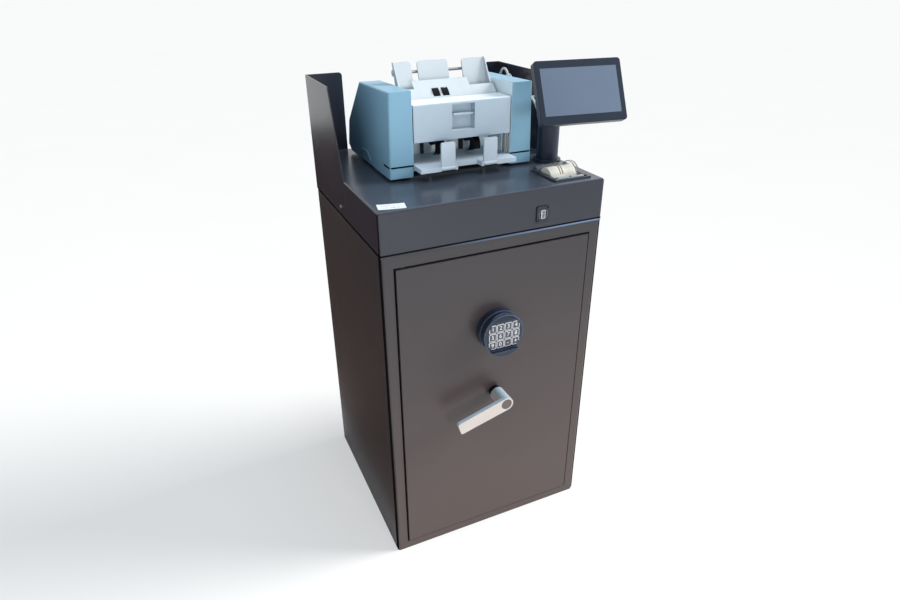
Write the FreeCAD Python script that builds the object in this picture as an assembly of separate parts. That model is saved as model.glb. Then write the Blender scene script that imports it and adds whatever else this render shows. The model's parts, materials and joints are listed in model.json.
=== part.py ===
import FreeCAD, Part
import math
import os

from FreeCAD import Placement, Rotation, Vector

# A steel deposit safe with a console deck. On the deck stand a banknote counter, a touch monitor on a
# column and a flush receipt printer. Millimetres, X to the right, Y to the back, Z up. The origin is the
# centre of the footprint on the floor.

# Fits
running_fit = 0.05
free_gap = 0.35
seam = 0.3

# Cabinet and console
cabinet_width = 450.0
cabinet_depth = 428.0
safe_height = 700.0
console_height = 79.0
wing_rise = 161.0
sheet = 2.0
sheet_bend = 3.5

# Safe shell
safe_wall = 5.0
safe_bend = 6.0
safe_top_bend = 4.0
frame_depth = 14.0
frame_side = 22.8
frame_top = 24.8
frame_bottom = 18.8
anchor_radius = 7.0
anchor_span_x = 300.0
anchor_span_y = 280.0

# Door and its hinge
door_gap = 3.2
door_thickness = 10.0
door_proud = 2.5
door_edge = 0.8
hinge_inset = 14.0
hinge_depth = 6.0
hinge_pin_radius = 4.0
hinge_pin_seat = 14.0
hinge_pin_hold = 20.0
hinge_block_height = 40.0
hinge_block_depth = 10.5
hinge_block_reach = 12.0

# Boltwork
bolt_throw = 16.0
bolt_radius = 9.0
bolt_clear = 1.0
bolt_set_back = 2.0
bolt_pitch = 200.0
bolt_guide_thickness = 12.0
bolt_guide_set_back = 15.0
bolt_guide_cover = 4.0
carriage_thickness = 6.0
carriage_bar_width = 24.0
carriage_arm_height = 24.0
carriage_set_back = 47.0
carriage_margin = 40.0
stud_radius = 4.0
stud_head_radius = 7.0
stud_head = 3.0
stud_places = (35.0, 100.0)

# Handle, crank and lock
handle_height = 363.0
handle_swing = 70.0
crank_thickness = 7.0
crank_clear = 1.0
crank_pin_radius = 4.0
crank_pin_gap = 0.45
crank_rim = 4.0
spindle_radius = 6.0
spindle_hold = 27.0
rosette_radius = 12.0
rosette_height = 11.5
hub_radius = 14.6
hub_length = 33.7
lever_length = 107.0
lever_thickness = 8.0
lever_droop = 16.0
lever_tip_half = 13.4
lever_tip_round = 4.0
hub_cap_radius = 11.3
hub_cap_depth = 1.5
lock_width = 62.0
lock_height = 85.0
lock_depth = 25.5
lock_left = 40.0
lock_clear = 14.0
lock_bolt_width = 18.0
lock_bolt_thickness = 12.0
lock_bolt_length = 40.0
lock_bolt_throw = 6.0
lock_bolt_play = 0.42

# Keypad
keypad_height = 512.0
keypad_radius = 42.5
keypad_depth = 33.0
keypad_bevel = 2.5
keypad_lip = 9.0
keypad_lip_drop = 31.0
keypad_brow_rise = 29.0
keypad_brow_depth = 9.0
key_columns = 4
key_rows = 3
key_pitch_x = 16.6
key_pitch_z = 17.6
key_width = 15.2
key_height = 16.0
key_round = 2.0
key_ring = 37.0
key_proud = 1.2
key_embed = 3.0
key_travel = 1.0

# Wings and their screws
wing_front = 197.0
wing_slope_run = 61.0
wing_return = 76.5
wing_corner = 7.0
wing_screw_inset = 33.5
wing_screw_height = 18.0
wing_screw_return = 38.0
screw_radius = 2.5
screw_length = 8.0
screw_head_radius = 4.8
screw_head = 2.6
screw_crown_radius = 2.9

# Data socket in the fascia
port_x = 92.0
port_rise = 29.0
port_width = 26.0
port_height = 31.0
port_plate = 2.5
port_round = 3.0
port_barrel_radius = 11.8
port_barrel = 20.0
port_slot_width = 6.2
port_slot_height = 13.2
port_slot_depth = 12.0

# Leads and their grommet
grommet_x = 194.5
grommet_y = 148.0
grommet_radius = 16.0
grommet_height = 5.0
grommet_neck_radius = 12.0
grommet_neck = 6.0
lead_radius = 2.5
lead_bend_share = 0.45

# Monitor and column
column_x = 194.0
column_y = -60.0
column_radius = 22.0
column_wall = 3.0
column_foot_radius = 28.0
column_foot = 5.0
spigot_radius = 14.0
spigot_height = 14.0
swivel_play = 0.1
screen_x = 190.0
screen_y = -166.0
screen_z = 933.0
monitor_yaw = -7.3
monitor_tilt = 26.9
monitor_width = 173.0
monitor_height = 115.0
monitor_round = 6.0
glass_thickness = 2.0
shell_thickness = 12.0
shell_rear_thickness = 12.0
shell_rear_inset = 15.0
tilt_plate_width = 70.0
tilt_plate_height = 50.0
tilt_plate = 4.0
tilt_axis_back = 10.0
tilt_pin_radius = 4.0
tilt_knuckle_radius = 9.0
tilt_knuckle_width = 25.0
tilt_lug = 6.0
arm_width = 20.0
arm_height = 16.0
head_crown = 4.0
spout_radius = 5.5
spout_length = 22.0
spout_y = -31.0
spout_z = 866.0
spout_rise = 55.2
spout_places = (188.0, 200.0)

# Receipt printer
printer_x = 167.0
printer_y = -154.5
printer_width = 80.0
printer_length = 87.0
printer_bezel = 3.0
printer_round = 3.0
trough_width = 72.0
trough_wall = 4.0
trough_depth = 46.0
trough_front = 7.0
trough_rear = 6.0
roll_radius = 22.0
roll_width = 57.0
roll_core_radius = 6.0
roll_y = -146.0
roll_below_deck = 9.0
roll_play = 0.5
platen_radius = 6.0
platen_shaft_radius = 2.5
platen_y = -178.0
platen_below_deck = 8.0
platen_play = 0.5
platen_seat = 1.0
lid_thickness = 2.0
lid_clear = 5.0
lid_hinge_rise = 6.5
lid_hinge_radius = 3.0
lid_hinge_lap = 1.0
lid_pin_radius = 1.5
lid_ear = 4.0
feed_button_radius = 3.0
feed_button_x = 30.0
feed_button_y = -36.0
feed_button_proud = 1.0
feed_button_length = 1.6
feed_button_travel = 0.8

# Banknote counter
counter_x = 1.0
counter_width = 299.7
counter_channel = 205.0
counter_front = -66.0
foot_radius = 8.0
foot_height = 5.0
foot_inset_x = 25.0
foot_inset_y = 20.0
counter_height = 161.0
plinth_top = 26.2
plinth_depth = 32.0
cover_wall = 3.0
cover_draft = 4.0
cover_edge = 3.0
cover_top_back_y = 105.0
cover_top_fall = 5.0
cover_rear_y = 186.0
cover_rear_z = 72.0
cover_heel_y = 198.0
cover_heel_z = 16.0
cover_toe_y = 178.0
grip_depth = 1.2
grip_front = 29.0
grip_back = 125.0
grip_slope_front = 27.0
grip_slope_back = 15.0
grip_rise_front = 25.0
grip_rise_back = 21.0
base_thickness = 4.0
base_back = 172.0
base_tie_lap = 4.0
chassis_inset = 3.5
chassis_plate = 3.0
chassis_front = -40.0
chassis_back = 60.0
chassis_top = 126.0
pocket_wall_y = 11.0
pocket_wall_top = 118.0
tray_front = -96.0
tray_thickness = 8.6
tray_top = 26.0
tray_stub_inner = 58.5
tray_ear = 4.5
tray_cut_half = 25.0
tray_cut_y = -77.0
tray_step_y = -86.0
tray_gap = 2.5
tray_play = 0.5
paddle_y = -93.0
paddle_rise = 48.0
paddle_thickness = 4.0
paddle_barrel = 4.0
paddle_pin_radius = 2.0
paddle_pin_drop = 4.2
paddle_round = 3.0
rib_width = 6.0

# Front flap and latch
panel_width = 200.0
panel_bottom = 67.5
panel_top = 136.0
panel_wall = 3.0
panel_hinge_y = -20.0
panel_barrel = 4.0
panel_pin_radius = 2.5
panel_gusset_depth = 22.0
recess_x = 1.5
recess_width = 47.0
recess_bottom = 83.5
recess_top = 130.8
recess_depth = 16.0
recess_wall = 2.0
latch_z = 109.5
latch_height = 4.0
latch_width = 39.0
latch_depth = 8.0
latch_set_back = 1.5
latch_tab = 3.0
latch_travel = 4.0

# Hopper
hopper_floor = 3.0
hopper_front = -14.5
ramp_left = -61.0
ramp_right = 29.0
ramp_top_y = 18.0
ramp_top = 164.0
ramp_foot = 135.0
ramp_thickness = 3.0
ramp_rib_back = 14.0
rear_deck_y = 183.0
rear_deck_z = 73.0
guide_lean = 20.0
guide_foot_y = 20.0
guide_foot_z = 141.0
guide_top = 196.0
guide_thickness = 3.0
guide_side = 2.5
guide_corner = 7.0
guide_left_edge = -97.0
guide_left_width = 37.0
guide_right_edge = 97.0
guide_right_width = 51.0
guide_toe_y = 11.0
guide_heel_y = 30.0
guide_nose_y = 5.0
guide_nose_rise = 6.0
guide_boss_radius = 6.0
guide_boss_length = 22.0
guide_rod_radius = 3.0
guide_rod_y = 48.0
guide_rod_z = 176.0
guide_rod_half = 96.0
back_plate_left = -46.0
back_plate_right = 18.0
back_plate_bottom = 161.0
back_plate_gap = 1.5
back_plate_thickness = 3.0
rod_bracket = 6.0
rod_bracket_inset = 12.0

# Feed and stacker drive
feed_y = 3.3
feed_z = 135.8
feed_radius = 14.0
feed_roller_places = (-27.0, -8.0)
feed_roller_width = 12.0
feed_roller_gap = 0.8
feed_roller_side = 1.0
feed_shaft_end = 3.0
shaft_radius = 4.0
shaft_hole_gap = 2.0
stacker_y = -26.0
stacker_z = 63.0
wheel_radius = 35.0
wheel_hub_radius = 10.0
wheel_width = 13.0
wheel_offset = 37.0
wheel_fingers = 6
finger_thickness = 3.0
finger_sweep = 42.0
finger_curl = 0.35
finger_root = 2.0
pulley_radius = 10.0
pulley_width = 7.0
pulley_gap = 1.5
belt_thickness = 1.5
belt_gap = 0.3
bracket_x = -115.0
bracket_plate = 3.0
bracket_half = 24.0
bracket_top = 91.0
motor_radius = 20.0
motor_length = 22.0
motor_cap = 1.0

# Places worked out from the sizes above
half_width = cabinet_width / 2
front = -cabinet_depth / 2
back = cabinet_depth / 2
deck = safe_height + console_height
frame_back = front + frame_depth
opening_side = half_width - frame_side
opening_top = safe_height - frame_top
door_side = opening_side - door_gap
door_bottom = frame_bottom + door_gap
door_top = opening_top - door_gap
door_front = front - door_proud
door_back = door_front + door_thickness
hinge_x = -door_side + hinge_inset
hinge_y = front + hinge_depth
bolt_y = frame_back + bolt_clear + bolt_radius
bolt_rest = door_side - bolt_set_back
bolt_middle = (door_bottom + door_top) / 2
bolt_heights = [bolt_middle + step * bolt_pitch for step in (-1, 0, 1)]
carriage_right = door_side - carriage_set_back
carriage_front = bolt_y - carriage_thickness / 2
carriage_back = bolt_y + carriage_thickness / 2
crank_half = math.radians(handle_swing / 2)
crank_radius = bolt_throw / (2 * math.sin(crank_half))
crank_front = door_back + crank_clear
crank_back = crank_front + crank_thickness
arm_z = handle_height - crank_radius
arm_bottom = arm_z - carriage_arm_height / 2
arm_top = arm_z + carriage_arm_height / 2
rosette_front = door_front - rosette_height
hub_back = rosette_front - seam
lever_back = hub_back - hub_length
lever_front = lever_back - lever_thickness
lock_bottom = arm_top + lock_clear
lock_bolt_x = lock_left + lock_width / 2
keypad_front = door_front - keypad_depth
wing_start = front + wing_front
counter_bottom = deck + foot_height
counter_left = counter_x - counter_width / 2
counter_right = counter_x + counter_width / 2
channel_left = counter_x - counter_channel / 2
channel_right = counter_x + counter_channel / 2
floor_top = counter_bottom + base_thickness
trough_left = printer_x - trough_width / 2
trough_right = printer_x + trough_width / 2
roll_z = deck - roll_below_deck
platen_z = deck - platen_below_deck
bezel_top = deck + printer_bezel
lid_radius = roll_radius + lid_clear + lid_thickness
lid_hinge_y = roll_y + lid_radius + lid_hinge_radius - lid_hinge_lap
lid_hinge_z = deck + lid_hinge_rise
flap_z = deck + panel_top - panel_barrel
chassis_outer = counter_channel / 2 - chassis_inset
chassis_inner = chassis_outer - chassis_plate
axis_x = Vector(1, 0, 0)
axis_y = Vector(0, 1, 0)
axis_z = Vector(0, 0, 1)


def block(x0, x1, y0, y1, z0, z1):
    """Box between two corners."""
    return Part.makeBox(x1 - x0, y1 - y0, z1 - z0, Vector(x0, y0, z0))


def bar_x(x0, x1, y, z, radius):
    """Round bar along X."""
    return Part.makeCylinder(radius, x1 - x0, Vector(x0, y, z), axis_x)


def bar_y(y0, y1, x, z, radius):
    """Round bar along Y."""
    return Part.makeCylinder(radius, y1 - y0, Vector(x, y0, z), axis_y)


def bar_z(z0, z1, x, y, radius):
    """Round bar along Z."""
    return Part.makeCylinder(radius, z1 - z0, Vector(x, y, z0), axis_z)


def prism(corners, travel):
    """Prism over a closed outline of corner points."""
    return Part.Face(Part.makePolygon(corners + corners[:1])).extrude(travel)


def prism_x(outline, x0, x1):
    """Prism along X over an outline of (y, z) points."""
    return prism([Vector(x0, y, z) for y, z in outline], Vector(x1 - x0, 0, 0))


def prism_y(outline, y0, y1):
    """Prism along Y over an outline of (x, z) points."""
    return prism([Vector(x, y0, z) for x, z in outline], Vector(0, y1 - y0, 0))


def prism_z(outline, z0, z1):
    """Prism along Z over an outline of (x, y) points."""
    return prism([Vector(x, y, z0) for x, y in outline], Vector(0, 0, z1 - z0))


def soften(shape, radius, direction):
    """Round the straight edges of a plain block that run along one direction."""
    edges = [edge for edge in shape.Edges if abs(edge.tangentAt(edge.FirstParameter).dot(direction)) > 0.99]
    return shape.makeFillet(radius, edges)


def soften_level(shape, radius, level):
    """Round the edges that lie at one height."""
    edges = []
    for edge in shape.Edges:
        if all(abs(vertex.Z - level) < 1e-6 for vertex in edge.Vertexes):
            edges.append(edge)
    return shape.makeFillet(radius, edges)


def inset(outline, wall):
    """Move every side of an anticlockwise outline inwards by a wall."""
    count = len(outline)
    lines = []
    for index in range(count):
        a = outline[index]
        b = outline[(index + 1) % count]
        length = math.hypot(b[0] - a[0], b[1] - a[1])
        way = ((b[0] - a[0]) / length, (b[1] - a[1]) / length)
        lines.append(((a[0] - way[1] * wall, a[1] + way[0] * wall), way))
    corners = []
    for index in range(count):
        (p, d) = lines[index - 1]
        (q, e) = lines[index]
        step = ((q[0] - p[0]) * e[1] - (q[1] - p[1]) * e[0]) / (d[0] * e[1] - d[1] * e[0])
        corners.append((p[0] + d[0] * step, p[1] + d[1] * step))
    return corners


def loop_slab(near, far, radius, x0, x1):
    """Slab with two round ends about two (y, z) centres, as a belt encloses."""
    along = Vector(0, far[0] - near[0], far[1] - near[1])
    along.normalize()
    across = Vector(0, -along.z, along.y) * radius
    a = Vector(x0, near[0], near[1])
    b = Vector(x0, far[0], far[1])
    edges = [
        Part.LineSegment(a - across, b - across).toShape(),
        Part.Arc(b - across, b + along * radius, b + across).toShape(),
        Part.LineSegment(b + across, a + across).toShape(),
        Part.Arc(a + across, a - along * radius, a - across).toShape(),
    ]
    return Part.Face(Part.Wire(edges)).extrude(Vector(x1 - x0, 0, 0))


def lead_tube(name, route, radius):
    """Round lead along straight runs joined by the largest tangent arcs that the runs allow."""
    points = [Vector(*point) for point in route]
    edges = []
    radii = []
    start = points[0]
    for before, corner, after in zip(points, points[1:], points[2:]):
        into = corner - before
        out = after - corner
        reach = lead_bend_share * min(into.Length, out.Length)
        turn = into.getAngle(out)
        bend = reach / math.tan(turn / 2)
        into.normalize()
        out.normalize()
        first = corner - into * reach
        last = corner + out * reach
        middle = out - into
        middle.normalize()
        centre_way = bend / math.cos(turn / 2)
        top = corner + middle * (centre_way - bend)
        edges.append(Part.LineSegment(start, first).toShape())
        edges.append(Part.Arc(first, top, last).toShape())
        radii.append(bend)
        start = last
    edges.append(Part.LineSegment(start, points[-1]).toShape())
    path = Part.Wire(edges)
    ring = Part.Wire(Part.Circle(points[0], points[1] - points[0], radius).toShape())
    tube = path.makePipeShell([ring], True, False)
    share = tube.Volume / (math.pi * radius ** 2 * path.Length)
    least = round(min(radii), 1)
    print(name, "length", round(path.Length, 1), "least radius", least, "volume", round(share, 4))
    return tube


def make_safe_body():
    shell = soften(block(-half_width, half_width, front, back, 0, safe_height), safe_bend, axis_z)
    shell = soften_level(shell, safe_top_bend, safe_height)
    inner = half_width - safe_wall
    hollow = block(-inner, inner, frame_back, back - safe_wall, safe_wall, safe_height - safe_wall)
    mouth = block(-opening_side, opening_side, front - 1, frame_back + 1, frame_bottom, opening_top)
    shell = shell.cut(hollow).cut(mouth)
    bore = hinge_pin_radius + running_fit
    shell = shell.cut(bar_z(opening_top - 1, opening_top + hinge_pin_seat, hinge_x, hinge_y, bore))
    shell = shell.cut(bar_z(frame_bottom - hinge_pin_seat, frame_bottom + 1, hinge_x, hinge_y, bore))
    for x in (-anchor_span_x / 2, anchor_span_x / 2):
        for y in (-anchor_span_y / 2, anchor_span_y / 2):
            shell = shell.cut(bar_z(-1, safe_wall + 1, x, y, anchor_radius))
    return shell


def make_hinge_pins():
    upper_end = opening_top + hinge_pin_seat
    lower_end = frame_bottom - hinge_pin_seat
    upper = bar_z(door_top - hinge_pin_hold, upper_end, hinge_x, hinge_y, hinge_pin_radius)
    lower = bar_z(lower_end, door_bottom + hinge_pin_hold, hinge_x, hinge_y, hinge_pin_radius)
    return Part.makeCompound([upper, lower])


def make_door_plate():
    slab = block(-door_side, door_side, door_front, door_back, door_bottom, door_top)
    rim = [edge for edge in slab.Edges if all(abs(v.Y - door_front) < 1e-6 for v in edge.Vertexes)]
    slab = slab.makeFillet(door_edge, rim)
    block_left = hinge_x - hinge_block_reach
    block_right = hinge_x + hinge_block_reach
    block_back = door_back + hinge_block_depth
    low = block(block_left, block_right, door_back, block_back, door_bottom, door_bottom + hinge_block_height)
    high = block(block_left, block_right, door_back, block_back, door_top - hinge_block_height, door_top)
    guide_right = door_side - bolt_guide_set_back
    guide_back = bolt_y + bolt_radius + bolt_guide_cover
    guide_low = bolt_heights[0] - carriage_margin
    guide_high = bolt_heights[-1] + carriage_margin
    guide_left = guide_right - bolt_guide_thickness
    guide = block(guide_left, guide_right, door_back, guide_back, guide_low, guide_high)
    slab = slab.multiFuse([low, high, guide])
    for height in bolt_heights:
        slab = slab.cut(bar_x(guide_left - 1, guide_right + 1, bolt_y, height, bolt_radius + running_fit))
    head_front = carriage_back + free_gap
    for x in stud_places:
        collar = bar_y(door_back, carriage_front - free_gap, x, arm_z, stud_head_radius)
        shank = bar_y(door_back, head_front, x, arm_z, stud_radius)
        head = bar_y(head_front, head_front + stud_head, x, arm_z, stud_head_radius)
        slab = slab.multiFuse([collar, shank, head])
    bore = hinge_pin_radius + running_fit
    depth = hinge_pin_hold + free_gap
    slab = slab.cut(bar_z(door_top - depth, door_top + 1, hinge_x, hinge_y, bore))
    slab = slab.cut(bar_z(door_bottom - 1, door_bottom + depth, hinge_x, hinge_y, bore))
    return slab.cut(bar_y(door_front - 1, door_back + 1, 0, handle_height, spindle_radius + running_fit))


def make_bolt_carriage():
    bar_left = carriage_right - carriage_bar_width
    bar_low = bolt_heights[0] - carriage_margin / 2
    bar_high = bolt_heights[-1] + carriage_margin / 2
    upright = block(bar_left, carriage_right, carriage_front, carriage_back, bar_low, bar_high)
    slot_x = -crank_radius * math.sin(crank_half)
    arm_left = slot_x - crank_pin_radius - 2 * crank_rim
    arm = block(arm_left, bar_left + 1, carriage_front, carriage_back, arm_bottom, arm_top)
    plate = upright.fuse(arm)
    through = (carriage_front - 1, carriage_back + 1)
    slot_half = crank_pin_radius + crank_pin_gap
    slot_low = handle_height - crank_radius - slot_half
    slot_high = handle_height - crank_radius * math.cos(crank_half) + slot_half
    plate = plate.cut(block(slot_x - slot_half, slot_x + slot_half, *through, slot_low, slot_high))
    for x in stud_places:
        half = stud_radius + free_gap
        slot = block(x - bolt_throw, x, *through, arm_z - half, arm_z + half)
        ends = [bar_y(*through, x - bolt_throw, arm_z, half), bar_y(*through, x, arm_z, half)]
        plate = plate.cut(slot.multiFuse(ends))
    slope = lock_bolt_throw / bolt_throw
    ramp_high_x = lock_bolt_x + lock_bolt_width / 2 + 1
    ramp_low_x = lock_bolt_x - lock_bolt_width / 2 - bolt_throw - 1
    ramp_low = arm_top - slope * (ramp_high_x - ramp_low_x)
    above = arm_top + 1
    ramp = [(ramp_high_x, arm_top), (ramp_low_x, ramp_low), (ramp_low_x, above), (ramp_high_x, above)]
    return plate.cut(prism_y(ramp, *through))


def make_locking_bolts():
    bolts = [bar_x(carriage_right, bolt_rest, bolt_y, height, bolt_radius) for height in bolt_heights]
    return Part.makeCompound(bolts)


def make_crank_spindle():
    pin_x = -crank_radius * math.sin(crank_half)
    pin_z = handle_height - crank_radius * math.cos(crank_half)
    disc_radius = crank_radius + crank_pin_radius + crank_rim
    disc = bar_y(crank_front, crank_back, 0, handle_height, disc_radius)
    shaft = bar_y(hub_back - spindle_hold, crank_front + 1, 0, handle_height, spindle_radius)
    pin = bar_y(crank_back - 1, carriage_back + stud_head, pin_x, pin_z, crank_pin_radius)
    return disc.multiFuse([shaft, pin])


def make_lever_handle():
    taper = [(-lever_length, -lever_tip_half), (0, -hub_radius), (0, hub_radius),
             (-lever_length, lever_tip_half)]
    bar = prism_y(taper, lever_front, lever_back)
    tip = [edge for edge in bar.Edges if all(abs(v.X + lever_length) < 1e-6 for v in edge.Vertexes)]
    tip = [edge for edge in tip if abs(edge.tangentAt(edge.FirstParameter).dot(axis_y)) > 0.99]
    bar = bar.makeFillet(lever_tip_round, tip)
    hub = bar_y(lever_front, hub_back, 0, 0, hub_radius)
    lever = bar.fuse(hub)
    lever = lever.cut(bar_y(hub_back - spindle_hold, hub_back + 1, 0, 0, spindle_radius + running_fit))
    lever = lever.cut(bar_y(lever_front - 1, lever_front + hub_cap_depth, 0, 0, hub_cap_radius + running_fit))
    lever.rotate(Vector(0, 0, 0), axis_y, -lever_droop)
    lever.translate(Vector(0, 0, handle_height))
    return lever


def make_hub_cap():
    return bar_y(lever_front + seam, lever_front + hub_cap_depth, 0, handle_height, hub_cap_radius)


def make_handle_rosette():
    collar = bar_y(rosette_front, door_front, 0, handle_height, rosette_radius)
    return collar.cut(bar_y(rosette_front - 1, door_front + 1, 0, handle_height, spindle_radius + free_gap))


def lock_bolt_block(grow, low, high):
    half = lock_bolt_width / 2 + grow
    depth = lock_bolt_thickness / 2 + grow
    return block(lock_bolt_x - half, lock_bolt_x + half, bolt_y - depth, bolt_y + depth, low, high)


def make_lock_case():
    lock_top = lock_bottom + lock_height
    case = block(lock_left, lock_left + lock_width, door_back, door_back + lock_depth, lock_bottom, lock_top)
    case = soften(case, key_round, axis_y)
    return case.cut(lock_bolt_block(free_gap, lock_bottom - 1, arm_top + lock_bolt_length + 1))


def make_lock_bolt():
    slope = lock_bolt_throw / bolt_throw
    rise = slope * (lock_bolt_width + 2) + free_gap
    bolt = lock_bolt_block(0, arm_top - rise, arm_top + lock_bolt_length)
    right = lock_bolt_x + lock_bolt_width / 2 + 1
    left = right - lock_bolt_width - 2
    high = arm_top + lock_bolt_play
    low = high - slope * (right - left)
    below = [(left, low), (left, low - rise), (right, low - rise), (right, high)]
    return bolt.cut(prism_y(below, bolt_y - lock_bolt_thickness, bolt_y + lock_bolt_thickness))


def key_centres():
    centres = []
    for row in range(key_rows):
        for column in range(key_columns):
            x = (column - (key_columns - 1) / 2) * key_pitch_x
            z = keypad_height + ((key_rows - 1) / 2 - row) * key_pitch_z
            centres.append((x, z))
    return centres


def key_block(centre, grow, y0, y1):
    half_x = key_width / 2 + grow
    half_z = key_height / 2 + grow
    x, z = centre
    body = soften(block(x - half_x, x + half_x, y0, y1, z - half_z, z + half_z), key_round + grow, axis_y)
    return body.common(bar_y(y0 - 1, y1 + 1, 0, keypad_height, key_ring + grow))


def make_keypad_housing():
    shoulder = keypad_front + keypad_bevel
    body = bar_y(shoulder, door_front, 0, keypad_height, keypad_radius)
    nose = Part.makeCone(keypad_radius - keypad_bevel, keypad_radius, keypad_bevel,
                         Vector(0, keypad_front, keypad_height), axis_y)
    lip = bar_y(keypad_front - keypad_lip, door_front, 0, keypad_height, keypad_radius)
    lip_top = keypad_height - keypad_lip_drop
    lip = lip.common(block(-keypad_radius, keypad_radius, keypad_front - keypad_lip, door_front,
                           keypad_height - keypad_radius, lip_top))
    body = body.multiFuse([nose, lip])
    brow = keypad_height + keypad_brow_rise
    brow_top = keypad_height + keypad_radius
    slope = [(keypad_front, brow), (keypad_front + keypad_brow_depth, brow_top), (keypad_front - 1, brow_top),
             (keypad_front - 1, brow)]
    body = body.cut(prism_x(slope, -keypad_radius, keypad_radius))
    depth = key_embed + key_travel + free_gap
    for centre in key_centres():
        body = body.cut(key_block(centre, free_gap, keypad_front - 1, keypad_front + depth))
    return body


def make_key(centre):
    return key_block(centre, 0, keypad_front - key_proud, keypad_front + key_embed)


def make_console_deck():
    step = half_width - sheet - seam
    skirt = block(-half_width, half_width, front, wing_start, safe_height, deck)
    bends = []
    for edge in skirt.Edges:
        low = min(vertex.Y for vertex in edge.Vertexes)
        on_front = all(abs(vertex.Y - front) < 1e-6 for vertex in edge.Vertexes)
        on_top = all(abs(vertex.Z - deck) < 1e-6 for vertex in edge.Vertexes)
        upright = abs(edge.tangentAt(edge.FirstParameter).dot(axis_z)) > 0.99
        if (on_front and (on_top or upright)) or (on_top and low < wing_start - 1):
            bends.append(edge)
    skirt = skirt.makeFillet(sheet_bend, bends)
    rear = block(-step, step, wing_start - 1, back - sheet - seam, safe_height, deck)
    outer = skirt.fuse(rear)
    inner_front = block(-half_width + sheet, half_width - sheet, front + sheet, wing_start - sheet,
                        safe_height - 1, deck - sheet)
    inner_rear = block(-step + sheet, step - sheet, wing_start - sheet - 1, back - 2 * sheet - seam,
                       safe_height - 1, deck - sheet)
    shell = outer.cut(inner_front).cut(inner_rear)
    trough_hole = block(trough_left - seam, trough_right + seam,
                        printer_y - printer_length / 2 + trough_front - seam,
                        printer_y + printer_length / 2 - trough_rear + seam, deck - sheet - 1, deck + 1)
    shell = shell.cut(trough_hole)
    neck_room = grommet_neck_radius + running_fit
    shell = shell.cut(bar_z(deck - sheet - 1, deck + 1, grommet_x, grommet_y, neck_room))
    port_z = safe_height + port_rise
    shell = shell.cut(bar_y(front - 1, front + sheet + 1, port_x, port_z, port_barrel_radius + running_fit))
    for place in screw_places():
        shell = shell.cut(screw_hole(place))
    return shell


def screw_places():
    """Outer end and inward direction of each wing screw."""
    height = safe_height + wing_screw_height
    side_y = wing_start + wing_screw_inset
    rear_x = half_width - wing_screw_return
    places = []
    for side in (-1, 1):
        places.append((Vector(side * half_width, side_y, height), Vector(-side, 0, 0)))
        places.append((Vector(side * rear_x, back, height), Vector(0, -1, 0)))
    return places


def screw_hole(place):
    start, way = place
    return Part.makeCylinder(screw_radius + running_fit, screw_length + 1, start - way, way)


def make_wing_screws():
    screws = []
    for start, way in screw_places():
        shank = Part.makeCylinder(screw_radius, screw_length, start, way)
        head = Part.makeCone(screw_crown_radius, screw_head_radius, screw_head, start - way * screw_head, way)
        screws.append(shank.fuse(head))
    return Part.makeCompound(screws)


def make_wing(side):
    top = deck + wing_rise
    low_front = wing_start + seam
    outline = [(low_front, safe_height), (back, safe_height), (back, top)]
    outline += [(wing_start + wing_slope_run, top), (low_front, deck)]
    panel = prism_x(outline, -half_width, -half_width + sheet)
    flange_right = -half_width + wing_return
    flange = block(-half_width, flange_right, back - sheet, back, safe_height, top)
    corner = [edge for edge in flange.Edges
              if all(abs(v.X - flange_right) < 1e-6 and abs(v.Z - top) < 1e-6 for v in edge.Vertexes)]
    flange = flange.makeFillet(wing_corner, corner)
    wing = panel.fuse(flange)
    if side > 0:
        wing = wing.mirror(Vector(0, 0, 0), axis_x)
    for place in screw_places():
        wing = wing.cut(screw_hole(place))
    return wing


def make_port_connector():
    port_z = safe_height + port_rise
    plate = block(port_x - port_width / 2, port_x + port_width / 2, front - port_plate, front,
                  port_z - port_height / 2, port_z + port_height / 2)
    plate = soften(plate, port_round, axis_y)
    barrel = bar_y(front - 1, front + port_barrel, port_x, port_z, port_barrel_radius)
    half_x = port_slot_width / 2
    half_z = port_slot_height / 2
    face = front - port_plate
    slot = block(port_x - half_x, port_x + half_x, face - 1, face + port_slot_depth, port_z - half_z,
                 port_z + half_z)
    return plate.fuse(barrel).cut(slot)


def make_deck_grommet():
    rim = bar_z(deck, deck + grommet_height, grommet_x, grommet_y, grommet_radius)
    neck = bar_z(deck - grommet_neck, deck + 1, grommet_x, grommet_y, grommet_neck_radius)
    return rim.fuse(neck)


def spout_way():
    angle = math.radians(spout_rise)
    return Vector(0, math.cos(angle), math.sin(angle))


def lead_routes():
    """Hand-laid routes from the grommet to the column's spouts."""
    top = deck + grommet_height
    outer = [
        (190.0, 150.0, top),
        (190.0, 150.0, 822.0),
        (190.0, 153.0, 862.0),
        (189.0, 146.0, 902.0),
        (188.0, 132.0, 937.0),
        (187.0, 106.0, 938.0),
        (186.0, 92.0, 908.0),
        (186.0, 70.0, 890.0),
        (187.0, 38.0, 890.0),
        (188.0, -6.5, 901.25),
        (spout_places[0], spout_y, spout_z),
    ]
    inner = [
        (199.0, 146.0, top),
        (199.0, 146.0, 822.0),
        (200.0, 148.0, 860.0),
        (199.0, 140.0, 898.0),
        (198.0, 126.0, 925.0),
        (197.0, 104.0, 924.0),
        (197.0, 88.0, 900.0),
        (197.0, 66.0, 884.0),
        (198.0, 36.0, 886.0),
        (200.0, -6.5, 901.25),
        (spout_places[1], spout_y, spout_z),
    ]
    return outer, inner


def monitor_frame():
    """Placement of the monitor's own frame: X along the screen, Y into the monitor, Z up the screen."""
    turn = Rotation(axis_z, monitor_yaw).multiply(Rotation(axis_x, -monitor_tilt))
    return Placement(Vector(screen_x, screen_y, screen_z), turn)


def in_monitor(shape):
    shape.Placement = monitor_frame().multiply(shape.Placement)
    return shape


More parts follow.
